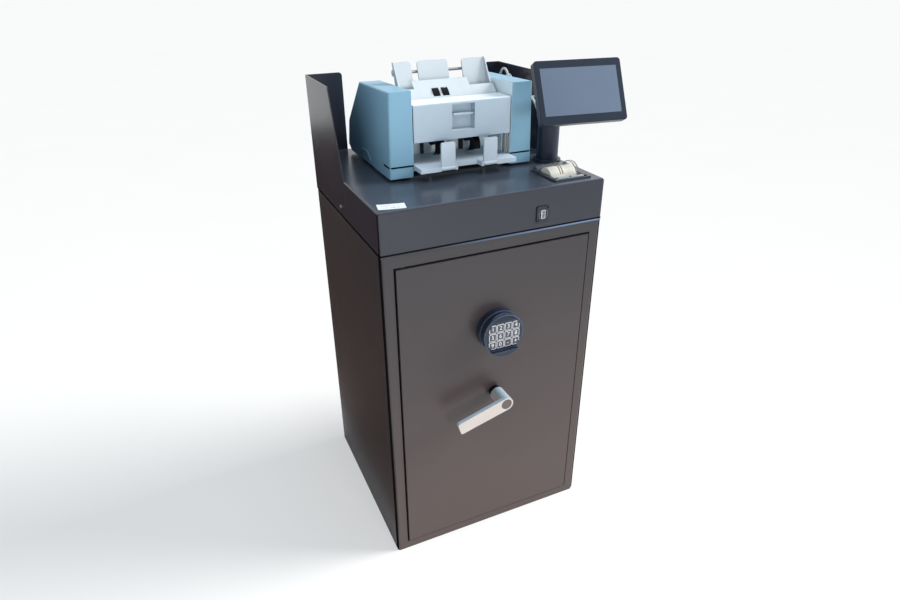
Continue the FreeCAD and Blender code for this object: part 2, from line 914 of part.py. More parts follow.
shell_back = glass_thickness + shell_thickness + shell_rear_thickness
tilt_axis_y = shell_back + tilt_plate + tilt_axis_back
tilt_point = monitor_frame().multVec(Vector(0, tilt_axis_y, 0))
column_top = tilt_point.z - arm_height / 2 - swivel_play


def make_monitor_column():
    tube = bar_z(deck, column_top, column_x, column_y, column_radius)
    foot = bar_z(deck, deck + column_foot, column_x, column_y, column_foot_radius)
    spigot = bar_z(column_top - 1, column_top + spigot_height, column_x, column_y, spigot_radius)
    way = spout_way()
    spouts = []
    for x in spout_places:
        face = Vector(x, spout_y, spout_z)
        spouts.append(Part.makeCylinder(spout_radius, spout_length, face - way * spout_length, way))
    column = tube.multiFuse([foot, spigot] + spouts)
    hollow = bar_z(deck - 1, column_top - column_wall, column_x, column_y, column_radius - column_wall)
    return column.cut(hollow)


def make_swivel_head():
    low = column_top + swivel_play
    high = low + arm_height
    cap = bar_z(low, high + head_crown, column_x, column_y, column_radius)
    reach = Vector(tilt_point.x - column_x, tilt_point.y - column_y, 0)
    arm = block(0, reach.Length, -arm_width / 2, arm_width / 2, low, high)
    arm.rotate(Vector(0, 0, 0), axis_z, math.degrees(math.atan2(reach.y, reach.x)))
    arm.translate(Vector(column_x, column_y, 0))
    half = tilt_knuckle_width / 2
    knuckle = in_monitor(bar_x(-half, half, tilt_axis_y, 0, tilt_knuckle_radius))
    head = cap.multiFuse([arm, knuckle])
    pin_room = in_monitor(bar_x(-half - 1, half + 1, tilt_axis_y, 0, tilt_pin_radius + running_fit))
    spigot_top = low + spigot_height + free_gap
    spigot_room = bar_z(low - 1, spigot_top, column_x, column_y, spigot_radius + running_fit)
    return head.cut(pin_room).cut(spigot_room)


def make_tilt_bracket():
    plate = block(-tilt_plate_width / 2, tilt_plate_width / 2, shell_back, shell_back + tilt_plate,
                  -tilt_plate_height / 2, tilt_plate_height / 2)
    inner = tilt_knuckle_width / 2 + free_gap
    outer = inner + tilt_lug
    pieces = [bar_x(-outer, outer, tilt_axis_y, 0, tilt_pin_radius)]
    for x0, x1 in ((-outer, -inner), (inner, outer)):
        pieces.append(block(x0, x1, shell_back + tilt_plate - 1, tilt_axis_y, -tilt_knuckle_radius,
                            tilt_knuckle_radius))
        pieces.append(bar_x(x0, x1, tilt_axis_y, 0, tilt_knuckle_radius))
    return in_monitor(plate.multiFuse(pieces))


def monitor_slab(inset_by, y0, y1):
    half_x = monitor_width / 2 - inset_by
    half_z = monitor_height / 2 - inset_by
    return soften(block(-half_x, half_x, y0, y1, -half_z, half_z), monitor_round, axis_y)


def make_monitor_shell():
    middle = glass_thickness + shell_thickness
    front_half = monitor_slab(0, glass_thickness, middle)
    rear_half = monitor_slab(shell_rear_inset, middle - 1, shell_back)
    return in_monitor(front_half.fuse(rear_half))


def make_monitor_glass():
    return in_monitor(monitor_slab(0, 0, glass_thickness))


def lid_ears():
    inner = lid_half_width() + seam
    return ((-inner - lid_ear, -inner), (inner, inner + lid_ear))


def lid_half_width():
    return trough_width / 2 - lid_ear


def make_printer_housing():
    y0 = printer_y - printer_length / 2
    y1 = printer_y + printer_length / 2
    bezel = block(printer_x - printer_width / 2, printer_x + printer_width / 2, y0, y1, deck, bezel_top)
    bezel = soften(bezel, printer_round, axis_z)
    trough = block(trough_left, trough_right, y0 + trough_front, y1 - trough_rear, deck - trough_depth,
                   deck + 1)
    body = bezel.fuse(trough)
    for x0, x1 in lid_ears():
        ear = bar_x(printer_x + x0, printer_x + x1, lid_hinge_y, lid_hinge_z, lid_hinge_radius)
        web = block(printer_x + x0, printer_x + x1, lid_hinge_y - lid_hinge_radius,
                    lid_hinge_y + lid_hinge_radius, deck, lid_hinge_z)
        body = body.multiFuse([ear, web])
    inner_left = trough_left + trough_wall
    inner_right = trough_right - trough_wall
    roll_room = roll_radius + roll_play
    platen_room = platen_radius + platen_play
    body = body.cut(bar_x(inner_left, inner_right, roll_y, roll_z, roll_room))
    body = body.cut(block(inner_left, inner_right, roll_y - roll_room, roll_y + roll_room, roll_z,
                          bezel_top + 1))
    body = body.cut(bar_x(inner_left, inner_right, platen_y, platen_z, platen_room))
    body = body.cut(block(inner_left, inner_right, platen_y - platen_room, roll_y, platen_z, bezel_top + 1))
    shaft_room = platen_shaft_radius + running_fit
    body = body.cut(bar_x(trough_left + platen_seat, trough_right - platen_seat, platen_y, platen_z,
                          shaft_room))
    pin_room = lid_pin_radius + running_fit
    body = body.cut(bar_x(trough_left - 1, trough_right + 1, lid_hinge_y, lid_hinge_z, pin_room))
    room = bar_z(bezel_top - feed_button_length - feed_button_travel - seam, bezel_top + 1,
                 printer_x + feed_button_x, printer_y + feed_button_y, feed_button_radius + free_gap)
    return body.cut(room)


def make_printer_lid():
    half = lid_half_width()
    left = printer_x - half
    right = printer_x + half
    low = bezel_top + seam
    dome = bar_x(left, right, roll_y, roll_z, lid_radius)
    inner_radius = lid_radius - lid_thickness
    dome = dome.cut(bar_x(left + lid_thickness, right - lid_thickness, roll_y, roll_z, inner_radius))
    below = block(left - 1, right + 1, roll_y - 2 * lid_radius, roll_y + 2 * lid_radius,
                  roll_z - 2 * lid_radius, low)
    dome = dome.cut(below)
    chord = math.sqrt(lid_radius ** 2 - (low - roll_z) ** 2)
    barrel = bar_x(left, right, lid_hinge_y, lid_hinge_z, lid_hinge_radius)
    link = block(left, right, roll_y + chord - lid_thickness, lid_hinge_y, low, low + lid_thickness)
    pins = bar_x(left - seam - lid_ear, right + seam + lid_ear, lid_hinge_y, lid_hinge_z, lid_pin_radius)
    lip_back = roll_y - chord + lid_thickness
    lip = block(left, right, platen_y - platen_radius, lip_back, low, low + lid_thickness)
    return dome.multiFuse([barrel, link, pins, lip])


def make_paper_roll():
    left = printer_x - roll_width / 2
    right = printer_x + roll_width / 2
    roll = bar_x(left, right, roll_y, roll_z, roll_radius)
    return roll.cut(bar_x(left - 1, right + 1, roll_y, roll_z, roll_core_radius))


def make_platen_roller():
    inner = trough_width / 2 - trough_wall - platen_play
    outer = trough_width / 2 - platen_seat - seam
    drum = bar_x(printer_x - inner, printer_x + inner, platen_y, platen_z, platen_radius)
    return drum.fuse(bar_x(printer_x - outer, printer_x + outer, platen_y, platen_z, platen_shaft_radius))


def make_feed_button():
    return bar_z(bezel_top - feed_button_length, bezel_top + feed_button_proud, printer_x + feed_button_x,
                 printer_y + feed_button_y, feed_button_radius)


def cover_outline():
    """Side view of a casing as (y, z) points, anticlockwise."""
    low = counter_bottom
    step_y = counter_front + plinth_depth
    step_z = deck + plinth_top + seam
    top = deck + counter_height
    return [
        (counter_front, step_z),
        (step_y, step_z),
        (step_y, low),
        (cover_toe_y, low),
        (cover_heel_y, deck + cover_heel_z),
        (cover_rear_y, deck + cover_rear_z),
        (cover_top_back_y, top - cover_top_fall),
        (counter_front, top),
    ]


def make_cover(side):
    outline = cover_outline()
    top = deck + counter_height
    thickness = (counter_width - counter_channel) / 2
    body = prism_x(outline, -thickness, 0)
    draft = [(-thickness - 1, counter_bottom), (-thickness, counter_bottom),
             (cover_draft - thickness, top + 1), (-thickness - 1, top + 1)]
    body = body.cut(prism_y(draft, counter_front - 1, cover_heel_y + 1))
    rim = []
    for edge in body.Edges:
        middle = edge.CenterOfMass
        outside = all(vertex.X < -thickness + cover_draft + 1 for vertex in edge.Vertexes)
        if outside and middle.z > deck + plinth_top + 1 and middle.y < cover_rear_y - 1:
            rim.append(edge)
    body = body.makeFillet(cover_edge, rim)
    room = inset(outline, cover_wall)
    hollow = prism_x(room, -thickness + cover_wall + cover_draft, -cover_wall)
    mouth = block(-thickness + cover_wall + cover_draft, -cover_wall, counter_front + cover_wall,
                  cover_toe_y - cover_wall, counter_bottom - 1, counter_bottom + cover_wall + 1)
    step_mouth = block(-thickness + cover_wall + cover_draft, -cover_wall, counter_front + cover_wall,
                       counter_front + plinth_depth + cover_wall + 1, counter_bottom - 1,
                       deck + plinth_top + cover_wall + 1)
    floor_slot = block(-cover_wall - 1, 1, counter_front + plinth_depth - 1, base_back + 1,
                       counter_bottom - 1, floor_top + seam)
    body = body.cut(hollow).cut(mouth).cut(step_mouth).cut(floor_slot)
    body = body.cut(bar_x(-cover_wall - 1, 1, panel_hinge_y, flap_z, panel_pin_radius + running_fit))
    grip = [(grip_front, counter_bottom - 1), (grip_back, counter_bottom - 1),
            (grip_back - grip_slope_back, deck + grip_rise_back),
            (grip_front + grip_slope_front, deck + grip_rise_front)]
    body = body.cut(prism_x(grip, -thickness - 1, -thickness + grip_depth))
    if side > 0:
        body = body.mirror(Vector(0, 0, 0), axis_x)
        body.translate(Vector(channel_right, 0, 0))
        return body
    body.translate(Vector(channel_left, 0, 0))
    shaft_room = shaft_radius + shaft_hole_gap
    outside = channel_left - cover_wall - 1
    body = body.cut(bar_x(outside, channel_left + 1, feed_y, deck + feed_z, shaft_room))
    return body.cut(bar_x(outside, channel_left + 1, stacker_y, deck + stacker_z, shaft_room))


def make_counter_base():
    half = counter_width / 2 - cover_wall - cover_draft - seam
    plinth_back = counter_front + plinth_depth
    plate_front = plinth_back + cover_wall + seam
    plate = block(counter_x - half, counter_x + half, plate_front, base_back, counter_bottom, floor_top)
    pieces = []
    for x0, x1 in ((counter_left, channel_left), (channel_right, counter_right)):
        plinth = block(x0, x1, counter_front, plinth_back - seam, counter_bottom, deck + plinth_top)
        pieces.append(soften(plinth, cover_edge, axis_z))
        tie_left = max(x0, counter_x - half)
        tie_right = min(x1, counter_x + half)
        pieces.append(block(tie_left + cover_wall, tie_right - cover_wall, plinth_back - base_tie_lap,
                            plinth_back + cover_wall + base_tie_lap, counter_bottom, floor_top))
    for side in (-1, 1):
        ends = sorted((counter_x + side * chassis_inner, counter_x + side * chassis_outer))
        pieces.append(block(*ends, chassis_front, chassis_back, floor_top - 1, deck + chassis_top))
    wall_half = chassis_inner + 1
    pieces.append(block(counter_x - wall_half, counter_x + wall_half, pocket_wall_y,
                        pocket_wall_y + chassis_plate, floor_top - 1, deck + pocket_wall_top))
    pieces.append(block(bracket_x - bracket_plate, bracket_x, stacker_y - bracket_half,
                        stacker_y + bracket_half, floor_top - 1, deck + bracket_top))
    rib_top = deck + tray_top - tray_thickness
    for side in (-1, 1):
        rib_x = counter_x + side * tray_stub_inner
        pieces.append(block(rib_x - rib_width / 2, rib_x + rib_width / 2, chassis_front, pocket_wall_y + 1,
                            floor_top - 1, rib_top))
    base = plate.multiFuse(pieces)
    shaft_room = shaft_radius + running_fit
    return base.cut(bar_x(bracket_x - bracket_plate - 1, counter_x + chassis_outer + 1, stacker_y,
                          deck + stacker_z, shaft_room))


def make_counter_feet():
    feet = []
    for x in (counter_left + foot_inset_x, counter_right - foot_inset_x):
        for y in (chassis_front + foot_inset_y, base_back - foot_inset_y):
            feet.append(bar_z(deck, counter_bottom, x, y, foot_radius))
    return Part.makeCompound(feet)


def make_front_panel():
    left = counter_x - panel_width / 2
    right = counter_x + panel_width / 2
    low = deck + panel_bottom
    top = deck + panel_top
    wall = block(left, right, counter_front, counter_front + panel_wall, low, top)
    pieces = [block(left, right, counter_front, panel_hinge_y, top - panel_wall, top)]
    pieces.append(bar_x(left, right, panel_hinge_y, flap_z, panel_barrel))
    pin_end = cover_wall + (counter_channel - panel_width) / 2
    pieces.append(bar_x(left - pin_end, right + pin_end, panel_hinge_y, flap_z, panel_pin_radius))
    for x0, x1 in ((left, left + panel_wall), (right - panel_wall, right)):
        pieces.append(block(x0, x1, counter_front, counter_front + panel_gusset_depth, low, top))
    half = recess_width / 2
    box_left = recess_x - half - recess_wall
    box_right = recess_x + half + recess_wall
    box_low = deck + recess_bottom - recess_wall
    box_high = deck + recess_top + recess_wall
    box_back = counter_front + recess_depth + recess_wall
    pieces.append(block(box_left, box_right, counter_front, box_back, box_low, box_high))
    panel = wall.multiFuse(pieces).removeSplitter()
    brow = [edge for edge in panel.Edges
            if all(abs(v.Y - counter_front) < 1e-6 and abs(v.Z - top) < 1e-6 for v in edge.Vertexes)]
    panel = panel.makeFillet(panel_wall, brow)
    panel = panel.cut(block(recess_x - half, recess_x + half, counter_front - 1, counter_front + recess_depth,
                            deck + recess_bottom, deck + recess_top))
    tab_low, tab_high, tab_front, tab_back = latch_tab_box()
    return panel.cut(block(box_left - 1, box_right + 1, tab_front - free_gap, tab_back + free_gap,
                           tab_low - free_gap, tab_high + latch_travel + free_gap))


def latch_tab_box():
    middle_y = counter_front + latch_set_back + latch_depth / 2
    middle_z = deck + latch_z + latch_height / 2
    half = latch_tab / 2
    return middle_z - half, middle_z + half, middle_y - half, middle_y + half


def make_latch_bar():
    half = latch_width / 2
    bar_front = counter_front + latch_set_back
    bar = block(recess_x - half, recess_x + half, bar_front, bar_front + latch_depth, deck + latch_z,
                deck + latch_z + latch_height)
    bar = soften(bar, latch_height / 4, axis_x)
    tab_low, tab_high, tab_front, tab_back = latch_tab_box()
    reach = recess_width / 2 + recess_wall
    return bar.fuse(block(recess_x - reach, recess_x + reach, tab_front, tab_back, tab_low, tab_high))


def make_hopper_base():
    low = deck + chassis_top
    high = low + hopper_floor
    left = counter_x - chassis_outer
    right = counter_x + chassis_outer
    floor = block(left, right, hopper_front, chassis_back, low, high)
    drop = deck + rear_deck_z
    slope = [(chassis_back, low), (rear_deck_y, drop), (rear_deck_y, drop + hopper_floor),
             (chassis_back, high)]
    rear = prism_x(slope, left, right)
    tail = block(left, right, rear_deck_y - hopper_floor, rear_deck_y, floor_top, drop + 1)
    ramp_low = deck + ramp_foot
    ramp_high = deck + ramp_top
    ramp = [(hopper_front, low), (hopper_front + ramp_thickness, low),
            (hopper_front + ramp_thickness, ramp_low - ramp_thickness),
            (ramp_top_y + ramp_thickness, ramp_high - ramp_thickness), (ramp_top_y, ramp_high),
            (hopper_front, ramp_low)]
    pieces = [rear, tail, prism_x(ramp, ramp_left, ramp_right)]
    rib = [(hopper_front, low), (ramp_rib_back, low), (ramp_rib_back, ramp_high - 2 * ramp_thickness),
           (hopper_front, ramp_low)]
    pieces.append(prism_x(rib, ramp_left, ramp_left + ramp_thickness))
    pieces.append(prism_x(rib, ramp_right - ramp_thickness, ramp_right))
    post_left = back_plate_left + rod_bracket_inset
    post_right = back_plate_right - rod_bracket_inset
    pieces.append(block(post_left, post_right, back_plate_rear(back_plate_bottom), guide_rod_y, low,
                        deck + back_plate_bottom))
    base = floor.multiFuse(pieces)
    for x in feed_roller_places:
        half = feed_roller_width / 2 + feed_roller_side
        base = base.cut(bar_x(x - half, x + half, feed_y, deck + feed_z, feed_radius + feed_roller_gap))
    return base.cut(bar_x(ramp_left - 1, ramp_right + 1, feed_y, deck + feed_z, shaft_radius + running_fit))


def guide_face(height):
    """Y of the guides' sloping front at a height above the deck."""
    return guide_foot_y + (height - guide_foot_z) * math.tan(math.radians(guide_lean))


def across_lean(distance):
    """Level distance through a leaning plate of some thickness."""
    return distance / math.cos(math.radians(guide_lean))


def back_plate_rear(height):
    return guide_face(height) + across_lean(guide_thickness + back_plate_gap + back_plate_thickness)


def leaning_plate(x0, x1, bottom, set_back, thickness):
    """Plate that leans back with the guides, with rounded top corners."""
    lean = math.radians(guide_lean)
    length = (guide_top - bottom) / math.cos(lean)
    plate = block(x0, x1, 0, thickness, 0, length)
    corners = [edge for edge in plate.Edges if all(abs(v.Z - length) < 1e-6 for v in edge.Vertexes)]
    corners = [edge for edge in corners if abs(edge.tangentAt(edge.FirstParameter).dot(axis_y)) > 0.99]
    plate = plate.makeFillet(guide_corner, corners)
    plate.rotate(Vector(0, 0, 0), axis_x, -guide_lean)
    plate.translate(Vector(0, guide_face(bottom) + across_lean(set_back), deck + bottom))
    return plate


def make_hopper_back_plate():
    plate = leaning_plate(back_plate_left, back_plate_right, back_plate_bottom,
                          guide_thickness + back_plate_gap, back_plate_thickness)
    pieces = []
    half = guide_boss_radius
    for x in (back_plate_left + rod_bracket_inset, back_plate_right - rod_bracket_inset - rod_bracket):
        y0 = back_plate_rear(guide_rod_z - half) - 1
        pieces.append(block(x, x + rod_bracket, y0, guide_rod_y, deck + guide_rod_z - half,
                            deck + guide_rod_z + half))
        pieces.append(bar_x(x, x + rod_bracket, guide_rod_y, deck + guide_rod_z, half))
        pieces.append(block(x, x + rod_bracket, back_plate_rear(back_plate_bottom) - 1, guide_rod_y,
                            deck + back_plate_bottom, deck + guide_rod_z))
    plate = plate.multiFuse(pieces)
    ahead = across_lean(guide_thickness + back_plate_gap)
    clear_y = guide_face(0) - back_plate_bottom
    before = [(clear_y, deck), (guide_face(0) + ahead, deck),
              (guide_face(guide_top) + ahead, deck + guide_top), (clear_y, deck + guide_top)]
    plate = plate.cut(prism_x(before, back_plate_left - 1, back_plate_right + 1))
    return plate.cut(bar_x(back_plate_left - 1, back_plate_right + 1, guide_rod_y, deck + guide_rod_z,
                           guide_rod_radius + running_fit))


def make_guide(x_edge, width, side):
    inner_edge = x_edge - side * width
    x0, x1 = sorted((x_edge, inner_edge))
    plate = leaning_plate(x0, x1, guide_foot_z, 0, guide_thickness)
    floor = deck + chassis_top + hopper_floor + seam
    top_y = guide_face(guide_top)
    wedge = [(guide_toe_y, floor), (guide_heel_y, floor),
             (guide_face(guide_foot_z) + guide_thickness, deck + guide_foot_z),
             (top_y + guide_thickness, deck + guide_top), (top_y - guide_thickness, deck + guide_top),
             (guide_nose_y, deck + guide_foot_z + guide_nose_rise), (guide_toe_y, deck + guide_foot_z)]
    w0, w1 = sorted((x_edge, x_edge - side * guide_side))
    b0, b1 = sorted((x_edge - side * guide_side, x_edge - side * (guide_side + guide_boss_length)))
    half = guide_boss_radius
    web = block(b0, b1, guide_face(guide_rod_z + half) + 1, guide_rod_y, deck + guide_rod_z - half,
                deck + guide_rod_z + half)
    boss = bar_x(b0, b1, guide_rod_y, deck + guide_rod_z, half)
    guide = plate.multiFuse([prism_x(wedge, w0, w1), web, boss])
    return guide.cut(bar_x(b0 - 1, b1 + 1, guide_rod_y, deck + guide_rod_z, guide_rod_radius + running_fit))


def make_guide_rod():
    return bar_x(counter_x - guide_rod_half, counter_x + guide_rod_half, guide_rod_y, deck + guide_rod_z,
                 guide_rod_radius)


def pulley_ends():
    return bracket_x + pulley_gap, bracket_x + pulley_gap + pulley_width


def make_feed_roller():
    z = deck + feed_z
    pulley_left, pulley_right = pulley_ends()
    pieces = [bar_x(pulley_left, pulley_right, feed_y, z, pulley_radius)]
    for x in feed_roller_places:
        pieces.append(bar_x(x - feed_roller_width / 2, x + feed_roller_width / 2, feed_y, z, feed_radius))
    return bar_x(pulley_left, ramp_right + feed_shaft_end, feed_y, z, shaft_radius).multiFuse(pieces)


def wheel_finger(x0, x1):
    """One curved finger of a stacker wheel about the origin."""
    sweep = math.radians(finger_sweep)
    root = wheel_hub_radius - finger_root
    tip = wheel_radius
    middle = (root + tip) / 2

    def at(radius, angle, side):
        way = Vector(0, math.cos(angle), math.sin(angle))
        across = Vector(0, -way.z, way.y) * (side * finger_thickness / 2)
        return Vector(x0, 0, 0) + way * radius + across

    near = [at(root, 0, -1), at(middle, sweep * finger_curl, -1), at(tip - 1, sweep, -1)]
    far = [at(tip - 1, sweep, 1), at(middle, sweep * finger_curl, 1), at(root, 0, 1)]
    edges = [
        Part.Arc(*near).toShape(),
        Part.LineSegment(near[2], far[0]).toShape(),
        Part.Arc(*far).toShape(),
        Part.LineSegment(far[2], near[0]).toShape(),
    ]
    return Part.Face(Part.Wire(edges)).extrude(Vector(x1 - x0, 0, 0))


def make_stacker_rotor():
    z = deck + stacker_z
    pulley_left, pulley_right = pulley_ends()
    motor_end = bracket_x - bracket_plate - motor_length + 2 * motor_cap
    pieces = [bar_x(pulley_left, pulley_right, stacker_y, z, pulley_radius)]
    for side in (-1, 1):
        x0 = counter_x + side * wheel_offset - wheel_width / 2
        pieces.append(bar_x(x0, x0 + wheel_width, stacker_y, z, wheel_hub_radius))
        for index in range(wheel_fingers):
            finger = wheel_finger(x0, x0 + wheel_width)
            finger.rotate(Vector(0, 0, 0), axis_x, index * 360 / wheel_fingers)
            finger.translate(Vector(0, stacker_y, z))
            pieces.append(finger)
    return bar_x(motor_end, counter_x + chassis_outer, stacker_y, z, shaft_radius).multiFuse(pieces)


def make_drive_motor():
    right = bracket_x - bracket_plate
    body = bar_x(right - motor_length, right, stacker_y, deck + stacker_z, motor_radius)
    bore_left = right - motor_length + motor_cap
    return body.cut(bar_x(bore_left, right + 1, stacker_y, deck + stacker_z, shaft_radius + running_fit))


def make_drive_belt():
    left, right = pulley_ends()
    near = (stacker_y, deck + stacker_z)
    far = (feed_y, deck + feed_z)
    inner = pulley_radius + belt_gap
    outer = loop_slab(near, far, inner + belt_thickness, left, right)
    return outer.cut(loop_slab(near, far, inner, left - 1, right + 1))


def make_stacker_tray():
    top = deck + tray_top
    low = top - tray_thickness
    wide = counter_channel / 2 - tray_gap
    narrow = chassis_inner - tray_play
    rear = pocket_wall_y - tray_play
    waist = chassis_front - tray_play
    inner = tray_cut_half + tray_ear
    half_outline = [(0, rear), (narrow, rear), (narrow, waist), (wide, waist), (wide, tray_front),
                    (tray_stub_inner, tray_front), (tray_stub_inner, tray_step_y), (inner, tray_step_y),
                    (inner, tray_front), (tray_cut_half, tray_front), (tray_cut_half, tray_cut_y),
                    (0, tray_cut_y)]
    right = prism_z([(counter_x + x, y) for x, y in half_outline], low, top)
    left = prism_z([(counter_x - x, y) for x, y in half_outline], low, top)
    tray = right.fuse(left).removeSplitter()
    pin_z = top - paddle_pin_drop
    return tray.cut(bar_x(counter_x - wide - 1, counter_x + wide + 1, paddle_y, pin_z,
                          paddle_pin_radius + running_fit))


def make_paddle(side):
    pin_z = deck + tray_top - paddle_pin_drop
    inner = tray_cut_half + tray_ear + free_gap
    outer = tray_stub_inner - free_gap
    plate = block(inner, outer, paddle_y - paddle_thickness / 2, paddle_y + paddle_thickness / 2, pin_z,
                  pin_z + paddle_rise)
    tip = pin_z + paddle_rise
    corners = [edge for edge in plate.Edges if all(abs(v.Z - tip) < 1e-6 for v in edge.Vertexes)]
    corners = [edge for edge in corners if abs(edge.tangentAt(edge.FirstParameter).dot(axis_y)) > 0.99]
    plate = plate.makeFillet(paddle_round, corners)
    barrel = bar_x(inner, outer, paddle_y, pin_z, paddle_barrel)
    pin_inner = inner - free_gap - tray_ear
    pin_outer = outer + free_gap + 2 * tray_ear
    pin = bar_x(pin_inner, pin_outer, paddle_y, pin_z, paddle_pin_radius)
    paddle = plate.multiFuse([barrel, pin])
    if side < 0:
        paddle = paddle.mirror(Vector(0, 0, 0), axis_x)
    paddle.translate(Vector(counter_x, 0, 0))
    return paddle


def make_parts():
    outer_route, inner_route = lead_routes()
    parts = {
        "safe_body": make_safe_body(),
        "hinge_pins": make_hinge_pins(),
        "door_plate": make_door_plate(),
        "bolt_carriage": make_bolt_carriage(),
        "locking_bolts": make_locking_bolts(),
        "crank_spindle": make_crank_spindle(),
        "lever_handle": make_lever_handle(),
        "hub_cap": make_hub_cap(),
        "handle_rosette": make_handle_rosette(),
        "lock_case": make_lock_case(),
        "lock_bolt": make_lock_bolt(),
        "keypad_housing": make_keypad_housing(),
        "console_deck": make_console_deck(),
        "left_wing": make_wing(-1),
        "right_wing": make_wing(1),
        "wing_screws": make_wing_screws(),
        "port_connector": make_port_connector(),
        "deck_grommet": make_deck_grommet(),
        "lead_outer": lead_tube("lead_outer", outer_route, lead_radius),
        "lead_inner": lead_tube("lead_inner", inner_route, lead_radius),
        "monitor_column": make_monitor_column(),
        "swivel_head": make_swivel_head(),
        "tilt_bracket": make_tilt_bracket(),
        "monitor_shell": make_monitor_shell(),
        "monitor_glass": make_monitor_glass(),
        "printer_housing": make_printer_housing(),
        "printer_lid": make_printer_lid(),
        "paper_roll": make_paper_roll(),
        "platen_roller": make_platen_roller(),
        "feed_button": make_feed_button(),
        "counter_base": make_counter_base(),
        "counter_feet": make_counter_feet(),
        "left_cover": make_cover(-1),
        "right_cover": make_cover(1),
        "front_panel": make_front_panel(),
        "latch_bar": make_latch_bar(),
        "hopper_base": make_hopper_base(),
        "hopper_back_plate": make_hopper_back_plate(),
        "left_guide": make_guide(guide_left_edge, guide_left_width, -1),
        "right_guide": make_guide(guide_right_edge, guide_right_width, 1),
        "guide_rod": make_guide_rod(),
        "feed_roller": make_feed_roller(),
        "stacker_rotor": make_stacker_rotor(),
        "drive_motor": make_drive_motor(),
        "drive_belt": make_drive_belt(),
        "stacker_tray": make_stacker_tray(),
        "left_paddle": make_paddle(-1),
        "right_paddle": make_paddle(1),
    }
    for number, centre in enumerate(key_centres(), start=1):
        parts["key_%02d" % number] = make_key(centre)
    return parts


os.makedirs("parts", exist_ok=True)
for name, shape in make_parts().items():
    shape.exportStep("parts/%s.step" % name)
print("tilt axis point", [round(value, 3) for value in tilt_point])
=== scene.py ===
# %% [markdown]
# The object is a deposit safe with a note counter, a touch monitor and a receipt printer on its deck. Its
# solids come from the imported model, in metres, and keep their meshes. This lesson gives them finishes and
# adds the thin trim that is easier to make as a mesh.

# %% Load the imported model
import json
import math

import bmesh
import bpy
from mathutils import Matrix, Vector


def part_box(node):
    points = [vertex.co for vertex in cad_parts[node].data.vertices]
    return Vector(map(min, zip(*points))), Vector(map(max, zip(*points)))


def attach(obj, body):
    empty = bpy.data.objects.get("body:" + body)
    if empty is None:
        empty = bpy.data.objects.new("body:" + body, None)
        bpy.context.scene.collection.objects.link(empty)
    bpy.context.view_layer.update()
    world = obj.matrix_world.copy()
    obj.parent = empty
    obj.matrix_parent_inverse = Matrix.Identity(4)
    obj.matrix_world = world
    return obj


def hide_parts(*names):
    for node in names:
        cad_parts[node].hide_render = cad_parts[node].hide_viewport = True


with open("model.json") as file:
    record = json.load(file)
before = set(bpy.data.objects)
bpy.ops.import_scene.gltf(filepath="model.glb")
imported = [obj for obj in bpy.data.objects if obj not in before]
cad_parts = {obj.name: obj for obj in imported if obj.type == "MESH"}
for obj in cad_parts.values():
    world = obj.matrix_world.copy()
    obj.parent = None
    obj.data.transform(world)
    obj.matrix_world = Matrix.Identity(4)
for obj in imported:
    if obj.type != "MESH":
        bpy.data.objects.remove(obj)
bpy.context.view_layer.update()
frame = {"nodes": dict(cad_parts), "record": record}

# %% [markdown]
# The camera comes first, because every later choice was matched to one photograph. Its place, turn and
# lens were found by matching the cabinet's straight edges, so they are written here as plain sizes in
# metres and degrees. Three turns are multiplied in order: the heading, the downward pitch and a trace of
# roll.


# %% Camera
def put(name, data):
    """Object with the given data, linked into the scene."""
    item = bpy.data.objects.new(name, data)
    bpy.context.scene.collection.objects.link(item)
    return item


camera_place = Vector((-0.522324, -1.158582, 1.134958))
camera_heading = math.radians(-24.271)
camera_pitch = math.radians(62.347)
camera_roll = math.radians(-0.506)
camera_data = bpy.data.cameras.new("camera")
camera_data.sensor_width = 36.0
camera_data.lens = 25.498
camera = put("camera", camera_data)
camera_turn = Matrix.Rotation(camera_heading, 4, "Z") @ Matrix.Rotation(camera_pitch, 4, "X")
camera.matrix_world = Matrix.Translation(camera_place) @ camera_turn @ Matrix.Rotation(camera_roll, 4, "Z")
bpy.context.scene.camera = camera
bpy.context.scene.view_settings.view_transform = "Standard"
print("camera at", [round(value, 3) for value in camera_place])

# %% [markdown]
# Finishes are node trees. Wiring nodes by hand hides the idea of a finish behind bookkeeping, so one small
# class wraps a socket and lets Python's own operators add the Math nodes.


# %% A socket that understands arithmetic
class Wire:
    """An output socket of a finish. Arithmetic on it adds Math nodes."""

    def __init__(self, finish, socket):
        self.finish = finish
        self.socket = socket

    def math(self, operation, first, second):
        return self.finish.add("ShaderNodeMath", {"operation": operation}, {0: first, 1: second})

    def larger(self, other):
        return self.math("MAXIMUM", self, other)

    def __add__(self, other):
        return self.math("ADD", self, other)

    def __sub__(self, other):
        return self.math("SUBTRACT", self, other)

    def __rsub__(self, other):
        return self.math("SUBTRACT", other, self)

    def __mul__(self, other):
        return self.math("MULTIPLY", self, other)

    def __lt__(self, other):
        return self.math("LESS_THAN", self, other)

    def __gt__(self, other):
        return self.math("GREATER_THAN", self, other)

    def __abs__(self):
        return self.math("ABSOLUTE", self, 0.0)

    __radd__ = __add__
    __rmul__ = __mul__


print("socket class ready")

# %% [markdown]
# A second class owns a material, or the sky, and has one method that adds any node. The other methods are
# the steps that most finishes share, from the place of a point to the closing surface. The edge mask
# compares a rounded normal with the true one.


